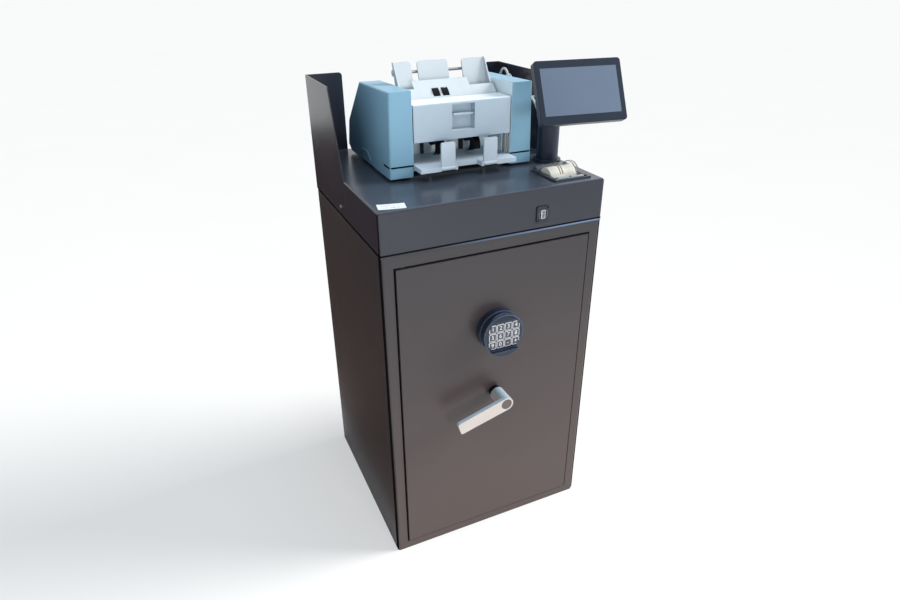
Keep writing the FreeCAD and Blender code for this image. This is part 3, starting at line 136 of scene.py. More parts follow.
# %% A finish and its nodes
class Finish:
    """The node tree of a material or of the sky."""

    def __init__(self, name, makers=bpy.data.materials):
        self.owner = makers.new(name)
        self.owner.use_nodes = True
        self.tree = self.owner.node_tree
        self.tree.nodes.clear()

    def add(self, kind, settings=None, sockets=None, out=0):
        """Any node, from its type, settings, values or wires of its sockets, and the output wanted."""
        node = self.tree.nodes.new(kind)
        for key, value in (settings or {}).items():
            setattr(node, key, value)
        for key, value in (sockets or {}).items():
            if isinstance(value, Wire):
                self.tree.links.new(value.socket, node.inputs[key])
            else:
                node.inputs[key].default_value = value
        return Wire(self, node.outputs[out]) if node.outputs else None

    def place(self):
        """Position on the piece, in metres."""
        return self.add("ShaderNodeTexCoord", out="Object")

    def along(self, where, letter):
        """One coordinate of a position: X, Y or Z."""
        return self.add("ShaderNodeSeparateXYZ", {}, {0: where}, out=letter)

    def noise(self, where, scale, detail=2.0, roughness=0.5):
        """Soft random value from 0 to 1; scale is in blotches per metre."""
        sockets = {"Vector": where, "Scale": scale, "Detail": detail, "Roughness": roughness}
        return self.add("ShaderNodeTexNoise", {}, sockets)

    def streaks(self, where, amounts, detail, roughness=0.5):
        """Noise with its own number of blotches per metre along each axis."""
        scaled = self.add("ShaderNodeVectorMath", {"operation": "MULTIPLY"}, {0: where, 1: amounts})
        return self.noise(scaled, 1.0, detail, roughness)

    def between(self, mask, first, second):
        """Colour that goes from the first to the second as the mask goes from 0 to 1."""
        return self.add("ShaderNodeMix", {"data_type": "RGBA"}, {0: mask, 6: first, 7: second}, out=2)

    def ramp(self, value, low, high):
        """Value stretched so that low becomes 0 and high becomes 1."""
        sockets = {"Value": value, "From Min": low, "From Max": high}
        return self.add("ShaderNodeMapRange", {"clamp": True}, sockets)

    def edges(self, radius):
        """Mask of the sharp outer edges, about as wide as the radius, and the softened normal there."""
        soft = self.add("ShaderNodeBevel", {"samples": 4}, {"Radius": radius})
        flat = self.add("ShaderNodeNewGeometry", out="Normal")
        dot = {"operation": "DOT_PRODUCT"}
        same = self.add("ShaderNodeVectorMath", dot, {0: soft, 1: flat}, out="Value")
        return self.ramp(1.0 - same, low=0.004, high=0.2), soft

    def level(self):
        """Mask of the faces that look upward, where dust settles and light falls."""
        normal = self.add("ShaderNodeNewGeometry", out="Normal")
        return self.ramp(self.along(normal, "Z"), low=0.55, high=0.95)

    def surface(self, tone, roughness, grain=None, depth=0.0, normal=None, **others):
        """The principled surface, with an optional grain height that becomes bump."""
        sockets = {"Base Color": tone, "Roughness": roughness}
        sockets.update({key.replace("_", " "): value for key, value in others.items()})
        if grain is not None:
            bump = {"Height": grain, "Distance": depth, "Strength": 1.0}
            if normal is not None:
                bump["Normal"] = normal
            sockets["Normal"] = self.add("ShaderNodeBump", {}, bump)
        shader = self.add("ShaderNodeBsdfPrincipled", {}, sockets)
        self.add("ShaderNodeOutputMaterial", {}, {"Surface": shader})
        return self.owner


print("finish class ready")

# %% [markdown]
# Colours are written as the 0-255 values that a colour picker shows, while sockets take linear ones, so one
# helper changes them. A second one makes a darker or paler relative of a tone, for edges and wear.


# %% Colours
def colour(red, green, blue):
    """Linear colour from 0-255 screen values."""
    levels = [value / 255 for value in (red, green, blue)]
    linear = [v / 12.92 if v <= 0.04045 else ((v + 0.055) / 1.055) ** 2.4 for v in levels]
    return (*linear, 1.0)


def shaded(tone, share, lift=0.0):
    """Colour made darker or paler by a share, and lifted a little."""
    return (*(min(1.0, channel * share + lift) for channel in tone[:3]), 1.0)


print("screen grey 128 is linear", round(colour(128, 128, 128)[0], 3))

# %% [markdown]
# The cabinet is sheet steel with a satin powder coat. Close up such a coat has an orange-peel skin a
# millimetre across, and over the whole door the gloss drifts a little where hands and cloths have been. The
# coat thins on folded edges, so a narrow mask there lets a paler tone through, which also paints the
# highlight the folds catch. Upward faces can take a pale blue that is part dust and part painted sky
# reflection.


# %% Painted steel
def painted_steel(name, low_tone, high_tone, gloss, peel, shine, dust_sheen_share=0.0, edge_wear_and_highlight=0.6):
    """Powder-coated sheet whose tone drifts with height, with edges paled by wear and a painted highlight,
    and upper faces paled by dust and a painted sky reflection.
    """
    finish = Finish(name)
    where = finish.place()
    drift = finish.noise(where, scale=4.0, detail=3.0)
    smear = finish.noise(where, scale=11.0, detail=4.0, roughness=0.6)
    worn_lit_edges, soft = finish.edges(radius=0.0016)
    climb = finish.ramp(finish.along(where, "Z") + (drift - 0.5) * 0.2, low=0.15, high=0.72)
    tone = finish.between(climb, low_tone, high_tone)
    patches = finish.ramp(finish.noise(where, scale=60.0, detail=4.0), low=0.35, high=0.75)
    # Paler edges: part worn coat, part painted highlight.
    tone = finish.between(worn_lit_edges * patches * edge_wear_and_highlight, tone, shaded(high_tone, 2.0, 0.012))
    # Pale blue upward faces: part dust, part painted sky reflection.
    dust_and_sheen = finish.level() * (0.6 + finish.ramp(smear, low=0.3, high=0.8) * 0.4) * dust_sheen_share
    tone = finish.between(dust_and_sheen, tone, colour(150, 172, 192))
    roughness = gloss + (drift - 0.5) * 0.06 + finish.ramp(smear, low=0.5, high=0.8) * 0.04
    skin = finish.noise(where, scale=950.0, detail=2.0)
    return finish.surface(tone, roughness, skin, peel, soft, Specular_IOR_Level=shine)


cabinet_paint = painted_steel("cabinet_paint", colour(75, 62, 60), colour(48, 46, 50), gloss=0.33,
                              peel=0.000008, shine=0.5, edge_wear_and_highlight=0.1)
# The console has the strongest painted edge highlight, and dust with painted sky reflection on top.
console_paint = painted_steel("console_paint", colour(41, 42, 52), colour(41, 43, 54), gloss=0.24,
                              peel=0.000006, shine=0.5, dust_sheen_share=0.13, edge_wear_and_highlight=1.0)
column_paint = painted_steel("column_paint", colour(29, 39, 55), colour(29, 39, 55), gloss=0.36,
                             peel=0.000008, shine=0.4)
motor_metal = painted_steel("motor_metal", colour(70, 70, 72), colour(84, 84, 86), gloss=0.4,
                            peel=0.00003, shine=0.5)
print("painted steel: 4 tones")

# %% [markdown]
# Moulded plastic carries the spark-eroded grain of its tool: an even, very fine leather that takes the
# shine off. A slow colour drift and slightly greyer edges keep large panels from looking like a flat fill.


# %% Moulded plastic
fine_grain = 0.00002
faint_grain = 0.00001


def moulded_plastic(name, tone, gloss, grain_depth=fine_grain, rim=None, top=None, **others):
    """Injection-moulded plastic: etched grain, handling marks and, if given, a paler rim that is a painted
    highlight or a paler upper face that is painted light.
    """
    finish = Finish(name)
    where = finish.place()
    drift = finish.noise(where, scale=7.0, detail=3.0)
    dust = finish.ramp(finish.noise(where, scale=130.0, detail=4.0, roughness=0.65), low=0.55, high=0.85)
    edge, soft = finish.edges(radius=0.0011)
    dulled = shaded(tone, 0.84)
    mixed = finish.between(drift, shaded(tone, 0.93), tone)
    mixed = finish.between(dust * 0.35, mixed, dulled)
    # A given rim tone is a painted highlight on the edges; without one the edges only turn greyer.
    mixed = finish.between(edge * 0.7, mixed, rim or dulled)
    # The upper face tone is painted light.
    if top:
        mixed = finish.between(finish.level(), mixed, top)
    roughness = gloss + dust * 0.08 - edge * 0.06
    grain = finish.noise(where, scale=1500.0, detail=3.0, roughness=0.7)
    return finish.surface(mixed, roughness, grain, grain_depth, soft, **others)


# The panel's paler top is painted light on its upward faces.
panel_grey = moulded_plastic("panel_grey", colour(174, 192, 206), gloss=0.46, top=colour(222, 231, 237))
white_plastic = moulded_plastic("white_plastic", colour(190, 199, 205), gloss=0.42)
# The tray and paddles take a paler copy of the white plastic: painted light.
lit_tray_plastic = moulded_plastic("lit_tray_plastic", colour(202, 217, 230), gloss=0.4)
black_plastic = moulded_plastic("black_plastic", colour(13, 15, 19), gloss=0.45, Specular_IOR_Level=0.15)
monitor_plastic = moulded_plastic("monitor_plastic", colour(28, 36, 47), gloss=0.34)
# The printer bezel's pale rim is a painted highlight on its front edges.
bezel_plastic = moulded_plastic("bezel_plastic", colour(50, 56, 66), gloss=0.3, grain_depth=faint_grain,
                                rim=colour(120, 132, 148))
cap_plastic = moulded_plastic("cap_plastic", colour(98, 86, 85), gloss=0.4, grain_depth=faint_grain)
lead_jacket = moulded_plastic("lead_jacket", colour(205, 206, 203), gloss=0.45)
print("moulded plastics: 8 tones")

# %% [markdown]
# The counter's casing and its inner chassis are one colour family on the outside and pale grey inside the
# note channel; that pale is partly the plastic's own and partly painted light, raised for the lit channel
# walls and the dim pocket. Both faces belong to one solid, so the finish asks where it is: between the two
# channel walls it turns pale, and elsewhere it stays blue. The edges take a paler tone, a painted highlight.

# %% Counter casing
channel_middle = 0.001
channel_half = 0.1027


def counter_casing(name):
    """Blue-grey moulded casing whose inner channel faces are paler, partly painted light, with a painted
    highlight on its edges.
    """
    finish = Finish(name)
    where = finish.place()
    inner = abs(finish.along(where, "X") - channel_middle) < channel_half
    drift = finish.noise(where, scale=6.0, detail=3.0)
    blue = finish.between(drift, colour(120, 163, 187), colour(128, 171, 195))
    pale_and_lit = finish.between(drift, colour(216, 232, 240), colour(226, 240, 246))
    dust = finish.ramp(finish.noise(where, scale=110.0, detail=4.0, roughness=0.65), low=0.55, high=0.85)
    edge, soft = finish.edges(radius=0.0012)
    # The paler inside is partly the plastic's own tone and partly painted light.
    tone = finish.between(inner, blue, pale_and_lit)
    # Paler edges are a painted highlight.
    tone = finish.between(edge * 0.5, tone, colour(176, 206, 220))
    grain = finish.noise(where, scale=1300.0, detail=3.0, roughness=0.7)
    return finish.surface(tone, 0.44 + dust * 0.08, grain, depth=0.00004, normal=soft)


casing_blue = counter_casing("casing_blue")
print("casing finish ready")

# %% [markdown]
# Bare metals: the lever is satin-blasted and lacquered, the bolts and rods are turned or drawn, so their
# marks run round or along the bar. Noise with few blotches along one axis and many across it gives that
# direction.


# %% Metals
def bare_metal(name, tone, gloss, marks, metal=1.0, top=None):
    """Metal with fine marks along one direction and, if given, a painted cool sky reflection on its upper
    faces.
    """
    finish = Finish(name)
    where = finish.place()
    scratches = finish.streaks(where, marks, detail=4.0, roughness=0.7)
    stain = finish.noise(where, scale=18.0, detail=3.0)
    edge, soft = finish.edges(radius=0.0009)
    mixed = finish.between(finish.ramp(stain, low=0.3, high=0.8) * 0.6, tone, shaded(tone, 0.8))
    # A given top tone is a painted cool reflection of the sky on upward faces.
    if top:
        mixed = finish.between(finish.level(), mixed, top)
    roughness = gloss + (scratches - 0.5) * 0.16 - edge * 0.08
    return finish.surface(mixed, roughness, scratches, fine_grain, soft, Metallic=metal)


# The lever's cool top tone is a painted sky reflection.
lever_metal = bare_metal("lever_metal", colour(206, 196, 190), gloss=0.4, marks=(180.0, 180.0, 900.0),
                         metal=0.25, top=colour(176, 196, 212))
bright_steel = bare_metal("bright_steel", colour(200, 201, 204), gloss=0.27, marks=(40.0, 1400.0, 1400.0))
screw_steel = bare_metal("screw_steel", colour(120, 120, 124), gloss=0.34, marks=(700.0, 700.0, 700.0))
lock_metal = bare_metal("lock_metal", colour(150, 152, 156), gloss=0.42, marks=(300.0, 300.0, 300.0),
                        metal=0.9)
socket_metal = bare_metal("socket_metal", colour(225, 225, 226), gloss=0.22, marks=(500.0, 500.0, 80.0))
brown_metal = bare_metal("brown_metal", colour(190, 178, 168), gloss=0.35, marks=(600.0, 600.0, 60.0))
print("metals: 6")

# %% [markdown]
# Rubber is nearly black and powdery. Paper is a wound strip, so its outside shows faint bands. Clear
# plastic is mostly a see-through skin with a gloss on it, best made with alpha so that it survives an
# export.


# %% Rubber, paper, clear plastic
def soft_rubber(name, shine):
    """Nearly black rubber with a grey bloom."""
    finish = Finish(name)
    where = finish.place()
    bloom = finish.noise(where, scale=45.0, detail=4.0)
    fine = finish.noise(where, scale=1900.0, detail=2.0)
    tone = finish.between(bloom, colour(12, 12, 14), colour(22, 22, 25))
    return finish.surface(tone, 0.62 + bloom * 0.15, fine, depth=0.00004, Specular_IOR_Level=shine)


def wound_paper(name):
    """Pale wound paper with faint bands."""
    finish = Finish(name)
    where = finish.place()
    bands = finish.streaks(where, (420.0, 3.0, 3.0), detail=3.0)
    fibre = finish.noise(where, scale=1700.0, detail=4.0, roughness=0.7)
    tone = finish.between(bands, colour(240, 236, 224), colour(250, 247, 238))
    return finish.surface(tone, 0.78 + (fibre - 0.5) * 0.1, fibre, depth=0.00003)


def clear_lid(name):
    """See-through plastic with a haze."""
    finish = Finish(name)
    haze = finish.ramp(finish.noise(finish.place(), scale=90.0, detail=4.0), low=0.5, high=0.9)
    tone = finish.between(haze, colour(222, 226, 222), colour(240, 242, 240))
    return finish.surface(tone, 0.08 + haze * 0.12, Alpha=0.05 + haze * 0.06)


black_rubber = soft_rubber("black_rubber", shine=0.2)
roll_paper = wound_paper("roll_paper")
clear_plastic = clear_lid("clear_plastic")
clear_plastic.surface_render_method = "BLENDED"
print("rubber, paper and clear plastic ready")

# %% [markdown]
# Keys are cast metal-look plastic with a shallow dish: the rim carries a painted highlight and the dish
# painted shade. The finish measures how far a point is from the middle of its own key, so all twelve share
# it. The body round them is dark blue; the brow over the keys is paler with a painted reflection of the
# room, and its front edge carries a painted highlight.


# %% Key and keypad finishes
def dished_key(name):
    """Silver key with a painted highlight on its rim and painted shade in its hollow."""
    finish = Finish(name)
    share = finish.add("ShaderNodeTexCoord", out="Generated")
    from_middle = abs(finish.along(share, "X") - 0.5).larger(abs(finish.along(share, "Z") - 0.5))
    # The bright rim is a painted highlight.
    rim = finish.ramp(from_middle, low=0.405, high=0.455)
    wear = finish.noise(finish.place(), scale=320.0, detail=4.0)
    # The darker middle is painted shade.
    dish_shade = finish.between(wear, colour(66, 68, 76), colour(84, 86, 94))
    tone = finish.between(rim, dish_shade, colour(212, 212, 216))
    return finish.surface(tone, 0.30 + wear * 0.1, wear, faint_grain, Metallic=0.35)


def keypad_shell(name):
    """Dark blue keypad body with a painted reflection over the keys and a painted highlight on its front
    edge.
    """
    finish = Finish(name)
    where = finish.place()
    forward = finish.ramp(0.0 - finish.along(where, "Y"), low=0.2500, high=0.2585)
    # The paler band over the keys is a painted reflection of the room.
    brow_reflection = forward * finish.ramp(finish.along(where, "Z"), low=0.505, high=0.530)
    edge, soft = finish.edges(radius=0.0014)
    drift = finish.noise(where, scale=30.0, detail=3.0)
    body = finish.between(drift, colour(24, 32, 46), colour(29, 38, 54))
    tone = finish.between(brow_reflection, body, colour(58, 76, 102))
    # The pale front edge is a painted highlight.
    tone = finish.between(edge * 0.8, tone, colour(104, 128, 160))
    grain = finish.noise(where, scale=1500.0, detail=3.0, roughness=0.7)
    return finish.surface(tone, 0.26 + drift * 0.08, grain, faint_grain, soft)


key_plastic = dished_key("key_plastic")
keypad_plastic = keypad_shell("keypad_plastic")
print("key and keypad finishes ready")

# %% [markdown]
# Every solid of the imported model keeps its mesh and takes the finish of its slot. A few solids share a slot
# with a neighbour but have a tone of their own, so a second list names them. The tray and paddles take a
# lit copy of the white plastic, which is painted light.

# %% Finishes on the solids
slot_finishes = {
    "cabinet_paint": cabinet_paint,
    "console_paint": console_paint,
    "bright_steel": bright_steel,
    "screw_steel": screw_steel,
    "lever_metal": lever_metal,
    "black_plastic": black_plastic,
    "keypad_plastic": keypad_plastic,
    "key_plastic": key_plastic,
    "lock_metal": lock_metal,
    "black_rubber": black_rubber,
    "lead_jacket": lead_jacket,
    "column_paint": column_paint,
    "monitor_plastic": monitor_plastic,
    "screen_glass": monitor_plastic,
    "clear_plastic": clear_plastic,
    "roll_paper": roll_paper,
    "casing_blue": casing_blue,
    "panel_grey": panel_grey,
    "white_plastic": white_plastic,
    "motor_metal": motor_metal,
}
own_finishes = {
    "hub_cap": cap_plastic,
    "printer_housing": bezel_plastic,
    "hinge_pins": column_paint,
    "port_connector": monitor_plastic,
    "stacker_tray": lit_tray_plastic,
    "left_paddle": lit_tray_plastic,
    "right_paddle": lit_tray_plastic,
}
for entry in frame["record"]["subparts"]:
    node = entry["node"]
    finish = own_finishes.get(node, slot_finishes[entry["material_slot"]])
    materials = frame["nodes"][node].data.materials
    materials.clear()
    materials.append(finish)

# %% [markdown]
# Each new piece is an edited mesh. One function turns such a mesh into a piece that rides on its body, so
# that it moves with it, and one more shades the piece smoothly except at real corners.


# %% Pieces from edited meshes
def piece_from(name, tool, finish, body, place=None):
    """Object from an edited mesh, in place, riding on its body."""
    mesh = bpy.data.meshes.new(name)
    tool.to_mesh(mesh)
    tool.free()
    piece = put(name, mesh)
    if place is not None:
        piece.matrix_world = place
    mesh.materials.append(finish)
    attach(piece, body)
    return piece


def smooth(piece, angle=40.0):
    """Shade a piece smoothly except at real corners."""
    for polygon in piece.data.polygons:
        polygon.use_smooth = True
    piece.data.set_sharp_from_angle(angle=math.radians(angle))
    return piece


print("piece helpers ready")

# %% [markdown]
# Two leads come out of the rubber grommet in the rear corner of the deck, rise in an arch behind the
# counter and run to the column. Each is one smooth spline over the same points that the solid's route has,
# so the round jacket lies where the solid is.


# %% Leads
def bent_bar(name, route, thickness, kind, finish, roundness):
    """Round bar along a route, as one spline of a given kind, riding on the cabinet."""
    line = bpy.data.curves.new(name, "CURVE")
    line.dimensions = "3D"
    line.bevel_depth = thickness / 2
    line.bevel_resolution = roundness
    line.resolution_u = 16
    spline = line.splines.new(kind)
    spline.points.add(len(route) - 1)
    for point, position in zip(spline.points, route):
        point.co = (*position, 1.0)
    if kind == "NURBS":
        spline.order_u = 3
        spline.use_endpoint_u = True
    bar = put(name, line)
    line.materials.append(finish)
    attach(bar, "cabinet")
    return bar


lead_diameter = 0.005
lead_routes = {
    "lead_outer": [
        (0.190, 0.150, 0.784), (0.190, 0.150, 0.822), (0.190, 0.153, 0.862), (0.189, 0.146, 0.902),
        (0.188, 0.132, 0.937), (0.187, 0.106, 0.938), (0.186, 0.092, 0.908), (0.186, 0.070, 0.890),
        (0.187, 0.038, 0.890), (0.188, -0.0065, 0.90125), (0.188, -0.031, 0.866),
    ],
    "lead_inner": [
        (0.199, 0.146, 0.784), (0.199, 0.146, 0.822), (0.200, 0.148, 0.860), (0.199, 0.140, 0.898),
        (0.198, 0.126, 0.925), (0.197, 0.104, 0.924), (0.197, 0.088, 0.900), (0.197, 0.066, 0.884),
        (0.198, 0.036, 0.886), (0.200, -0.0065, 0.90125), (0.200, -0.031, 0.866),
    ],
}
for lead_name, route in lead_routes.items():
    jacket_name = lead_name + "_jacket"
    lead = bent_bar(jacket_name, route, lead_diameter, "NURBS", lead_jacket, roundness=6)
    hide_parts(lead_name)
    print(lead_name, "points", len(route))

# %% [markdown]
# The touch monitor's front is one sheet of dark glass. The display behind it is switched off, so it reads
# as a grey-blue field inside a black border. The border is ink on the back of the glass, so a mask in one
# finish tells ink from display.

# %% Screen finish
display_half_x = 0.0762
display_half_z = 0.0428
display_rise = 0.0006


def screen_finish(name):
    """Glossy glass over a dark ink border and a grey display."""
    finish = Finish(name)
    where = finish.place()
    beside = abs(finish.along(where, "X"))
    above = abs(finish.along(where, "Z") - display_rise)
    display = (beside < display_half_x) * (above < display_half_z)
    drift = finish.noise(where, scale=9.0, detail=2.0)
    grey = finish.between(drift, colour(88, 102, 122), colour(94, 108, 128))
    ink = finish.between(drift, colour(22, 32, 47), colour(27, 38, 54))
    smudge = finish.ramp(finish.noise(where, scale=30.0, detail=5.0, roughness=0.65), low=0.5, high=0.8)
    tone = finish.between(display, ink, grey)
    return finish.surface(tone, 0.14 + smudge * 0.10, Specular_IOR_Level=0.35)


screen_glass = screen_finish("screen_glass")
print("display", 2 * display_half_x, "x", 2 * display_half_z)

# %% [markdown]
# The sheet itself is a rounded outline that is filled, pulled to its thickness and bevelled round the front
# rim. It takes the monitor's yaw and tilt, and it stands in for the plain glass solid.


# %% Touch screen
def rounded_outline(half_x, half_z, radius, steps=5):
    """Corner points of a rounded rectangle, anticlockwise seen from the front."""
    points = []
    for quarter, (sign_x, sign_z) in enumerate(((1, 1), (-1, 1), (-1, -1), (1, -1))):
        centre = ((half_x - radius) * sign_x, (half_z - radius) * sign_z)
        for step in range(steps + 1):
            angle = math.radians(90 * (quarter + step / steps))
            points.append((centre[0] + radius * math.cos(angle), centre[1] + radius * math.sin(angle)))
    return points


def pulled(points, pull):
    """Closed loop of points, filled and pulled to a solid."""
    tool = bmesh.new()
    face = tool.faces.new([tool.verts.new(point) for point in points])
    grown = bmesh.ops.extrude_face_region(tool, geom=[face])
    moved = [item for item in grown["geom"] if isinstance(item, bmesh.types.BMVert)]
    bmesh.ops.translate(tool, verts=moved, vec=pull)
    bmesh.ops.recalc_face_normals(tool, faces=tool.faces)
    return tool


glass_half_x = 0.0865
glass_half_z = 0.0575
glass_corner = 0.006
glass_thickness = 0.002
glass_rim = 0.0009
monitor_yaw = math.radians(-7.3)
monitor_tilt = math.radians(-26.9)
screen_centre = Vector((0.190, -0.166, 0.933))
screen_turn = Matrix.Rotation(monitor_yaw, 4, "Z") @ Matrix.Rotation(monitor_tilt, 4, "X")
screen_place = Matrix.Translation(screen_centre) @ screen_turn
glass_outline = rounded_outline(glass_half_x, glass_half_z, glass_corner)
glass = pulled([(x, 0.0, z) for x, z in glass_outline], (0, glass_thickness, 0))
front_rim = [edge for edge in glass.edges if all(abs(corner.co.y) < 1e-7 for corner in edge.verts)]
bmesh.ops.bevel(glass, geom=front_rim, offset=glass_rim, segments=3, affect="EDGES", profile=0.5)
screen = smooth(piece_from("touch_screen", glass, screen_glass, "monitor", screen_place))
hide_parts("monitor_glass")
print("touch screen", 2 * glass_half_x, "x", 2 * glass_half_z)

# %% [markdown]
# Keys need legends that anyone may use: the ten digits and two plain marks. Text is turned into a thin mesh
# that stands a hair above its key, and it rides on the key so that it goes in when the key is pressed.

# %% Key legends
legend_ink = moulded_plastic("legend_ink", colour(214, 215, 218), gloss=0.5, grain_depth=faint_grain)
legends = "1234567890-+"
stand_up = Matrix.Rotation(math.pi / 2, 4, "X")
legend_size = 0.01188
legend_lift = 0.00005
legend_half_depth = 0.00012
legend_boldness = 0.0002
for number, legend in enumerate(legends, start=1):
    node = "key_%02d" % number
    low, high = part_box(node)
    middle = (low + high) / 2
    text = bpy.data.curves.new("legend", "FONT")
    text.body = legend
    text.size = legend_size
    text.align_x = "CENTER"
    text.align_y = "CENTER"
    text.extrude = legend_half_depth
    text.offset = legend_boldness
    holder = put("legend", text)
    bpy.context.view_layer.update()
    solid_text = holder.evaluated_get(bpy.context.evaluated_depsgraph_get())
    mesh = bpy.data.meshes.new_from_object(solid_text)
    bpy.data.objects.remove(holder)
    mark = put("legend_%02d" % number, mesh)
    mark.matrix_world = Matrix.Translation((middle.x, low.y - legend_lift, middle.z)) @ stand_up
    mesh.materials.clear()
    mesh.materials.append(legend_ink)
    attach(mark, node)
print("legends", len(legends))

# %% [markdown]
# The keypad's round body has a rim at its face and a raised band half way along its wall. Both are
# round bars bent into a circle, in a pale plastic that paints their highlights: a small section is turned
# round the keypad's own middle, and a skin joins the rows of points. They ride on the door.


# %% Keypad rings
def skinned(rows, wrap_row=False, wrap_all=False, capped=False):
    """Skin over rows of points. A row, or the chain of rows, may close on itself, or the ends be capped."""
    tool = bmesh.new()
    grid = [[tool.verts.new(point) for point in row] for row in rows]
    chain = grid + grid[:1] if wrap_all else grid
    for first, second in zip(chain, chain[1:]):
        if wrap_row:
            first = first + first[:1]
            second = second + second[:1]
        for corners in zip(first, first[1:], second[1:], second):
            tool.faces.new(corners)
    if capped:
        tool.faces.new(grid[0])
        tool.faces.new(grid[-1][::-1])
    bmesh.ops.recalc_face_normals(tool, faces=tool.faces)
    return tool


def turned(profile, steps):
    """Rows of points: a profile of (radius, depth) pairs set round the Y axis."""
    rows = []
    for step in range(steps):
        angle = 2 * math.pi * step / steps
        rows.append([(radius * math.cos(angle), depth, radius * math.sin(angle))
                     for radius, depth in profile])
    return rows


# The rings' pale plastic paints highlights on the keypad's rim and band.
ring_highlight_plastic = moulded_plastic("ring_highlight_plastic", colour(72, 92, 120), gloss=0.24, grain_depth=faint_grain)
ring_thickness = 0.0014
ring_sides = 10
ring_steps = 72
keypad_low, keypad_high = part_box("keypad_housing")
keypad_middle = (keypad_low + keypad_high) / 2
keypad_radius = (keypad_high.x - keypad_low.x) / 2
for ring_name, ring_depth, inset in (("keypad_rim", 0.0100, 0.0012), ("keypad_band", 0.0270, 0.0001)):
    section = []
    for side_step in range(ring_sides):
        tilt = 2 * math.pi * side_step / ring_sides
        reach = keypad_radius - inset + ring_thickness / 2 * math.cos(tilt)
        section.append((reach, ring_thickness / 2 * math.sin(tilt)))
    ring = skinned(turned(section, ring_steps), wrap_row=True, wrap_all=True)
    ring_place = Matrix.Translation((keypad_middle.x, keypad_low.y + ring_depth, keypad_middle.z))
    smooth(piece_from(ring_name, ring, ring_highlight_plastic, "door", ring_place))
print("keypad rings of radius", round(keypad_radius, 4))

# %% [markdown]
# The panel socket in the fascia has a bright metal mouth inside a round metal shell. The mouth is a sheet
# that runs over a raised rim and down into the opening, and the shell is a low profile turned round the
# same middle.

# %% Socket mouth and shell
port_low, port_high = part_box("port_connector")
port_x = (port_low.x + port_high.x) / 2
port_z = (port_low.z + port_high.z) / 2
port_face = port_low.y
port_place = Matrix.Translation((port_x, port_face, port_z))
rim_proud = 0.0007
mouth_depth = 0.0105
mouth = rounded_outline(half_x=0.0030, half_z=0.0065, radius=0.0004, steps=2)
rim = rounded_outline(half_x=0.0043, half_z=0.0078, radius=0.0008, steps=2)
mouth_levels = ((rim, 0.0), (rim, -rim_proud), (mouth, -rim_proud), (mouth, mouth_depth))
mouth_rows = [[(x, depth, z) for x, z in outline] for outline, depth in mouth_levels]
mouth_sheet = skinned(mouth_rows, wrap_row=True)
mouth_piece = piece_from("port_mouth", mouth_sheet, socket_metal, "cabinet", port_place)
smooth(mouth_piece, angle=30.0)
shell_outer = 0.0098
shell_inner = 0.0083
shell_slope = 0.0004
shell_sunk = 0.0002
shell_profile = (
    (shell_outer, shell_sunk), (shell_outer, -shell_slope), (shell_outer - shell_slope, -rim_proud),
    (shell_inner + shell_slope, -rim_proud), (shell_inner, -shell_slope), (shell_inner, shell_sunk),
)
shell = skinned(turned(shell_profile, steps=40), wrap_all=True)
shell_piece = piece_from("port_shell", shell, screw_steel, "cabinet", port_place)
smooth(shell_piece, angle=30.0)
print("socket mouth", mouth_depth, "deep")

# %% [markdown]
# A pale tongue with two dark windows stands free in the mouth, so that a plug can slide over it. Two black
# screws hold the plate at opposite corners. All of them are small enough for plain boxes and pegs.


# %% Socket tongue and screws
def bevelled_box(low, high, edge, segments=3):
    """Box between two corners with every edge rounded."""
    tool = bmesh.new()
    bmesh.ops.create_cube(tool, size=1.0)
    low, high = Vector(low), Vector(high)
    for vertex in tool.verts:
        share = vertex.co + Vector((0.5, 0.5, 0.5))
        vertex.co = Vector([low[i] + (high[i] - low[i]) * share[i] for i in range(3)])
    bmesh.ops.bevel(tool, geom=tool.edges[:], offset=edge, segments=segments, affect="EDGES", profile=0.5)
    return tool


def peg(base_radius, tip_radius, length, sides, turn=Matrix()):
    """Short round bar that stands along Z unless it is turned."""
    tool = bmesh.new()
    bmesh.ops.create_cone(tool, cap_ends=True, segments=sides, radius1=base_radius, radius2=tip_radius,
                          depth=length, matrix=turn)
    return tool


tongue_low = (-0.0018, 0.0006, -0.0050)
tongue_high = (0.0018, 0.0110, 0.0050)
tongue = bevelled_box(tongue_low, tongue_high, edge=0.0003, segments=2)
piece_from("port_insert", tongue, white_plastic, "cabinet", port_place)
window_front = 0.0003
window_back = 0.0010
window_half_x = 0.0009
window_half_z = 0.0013
for index, window_z in enumerate((-0.0024, 0.0024)):
    window_low = (-window_half_x, window_front, window_z - window_half_z)
    window_high = (window_half_x, window_back, window_z + window_half_z)
    window = bevelled_box(window_low, window_high, edge=0.0002, segments=2)
    piece_from("port_window_%d" % index, window, black_plastic, "cabinet", port_place)
screw_out_x = 0.0096
screw_out_z = 0.0120
screw_sink = 0.0003
for screw_name, sign in (("port_screw_low", -1), ("port_screw_high", 1)):
    screw = peg(base_radius=0.0019, tip_radius=0.0014, length=0.0007, sides=24, turn=stand_up)
    screw_x = port_x + sign * screw_out_x
    screw_z = port_z + sign * screw_out_z
    spot = Matrix.Translation((screw_x, port_face - screw_sink, screw_z))
    smooth(piece_from(screw_name, screw, black_plastic, "cabinet", spot))
print("socket tongue, two windows and two screws")

# %% [markdown]
# A worn paper label with two faded grey bars is stuck on the front left corner of the deck. Paper has no
# shine and its corners lift a trace, so the sheet is a fine grid that bends up by less than half a
# millimetre there.

# %% Deck label
deck_height = 0.779
label_centre = (-0.1920, -0.1907, deck_height)
label_angle = math.radians(-11.5)
label_half_x = 0.0240
label_half_y = 0.0135
label_lift = 0.0002
corner_curl = 0.0004
ink_left = 0.003
ink_down = 0.0006
ink_apart = 0.0052
ink_half_x = 0.0165
ink_half_y = 0.0013


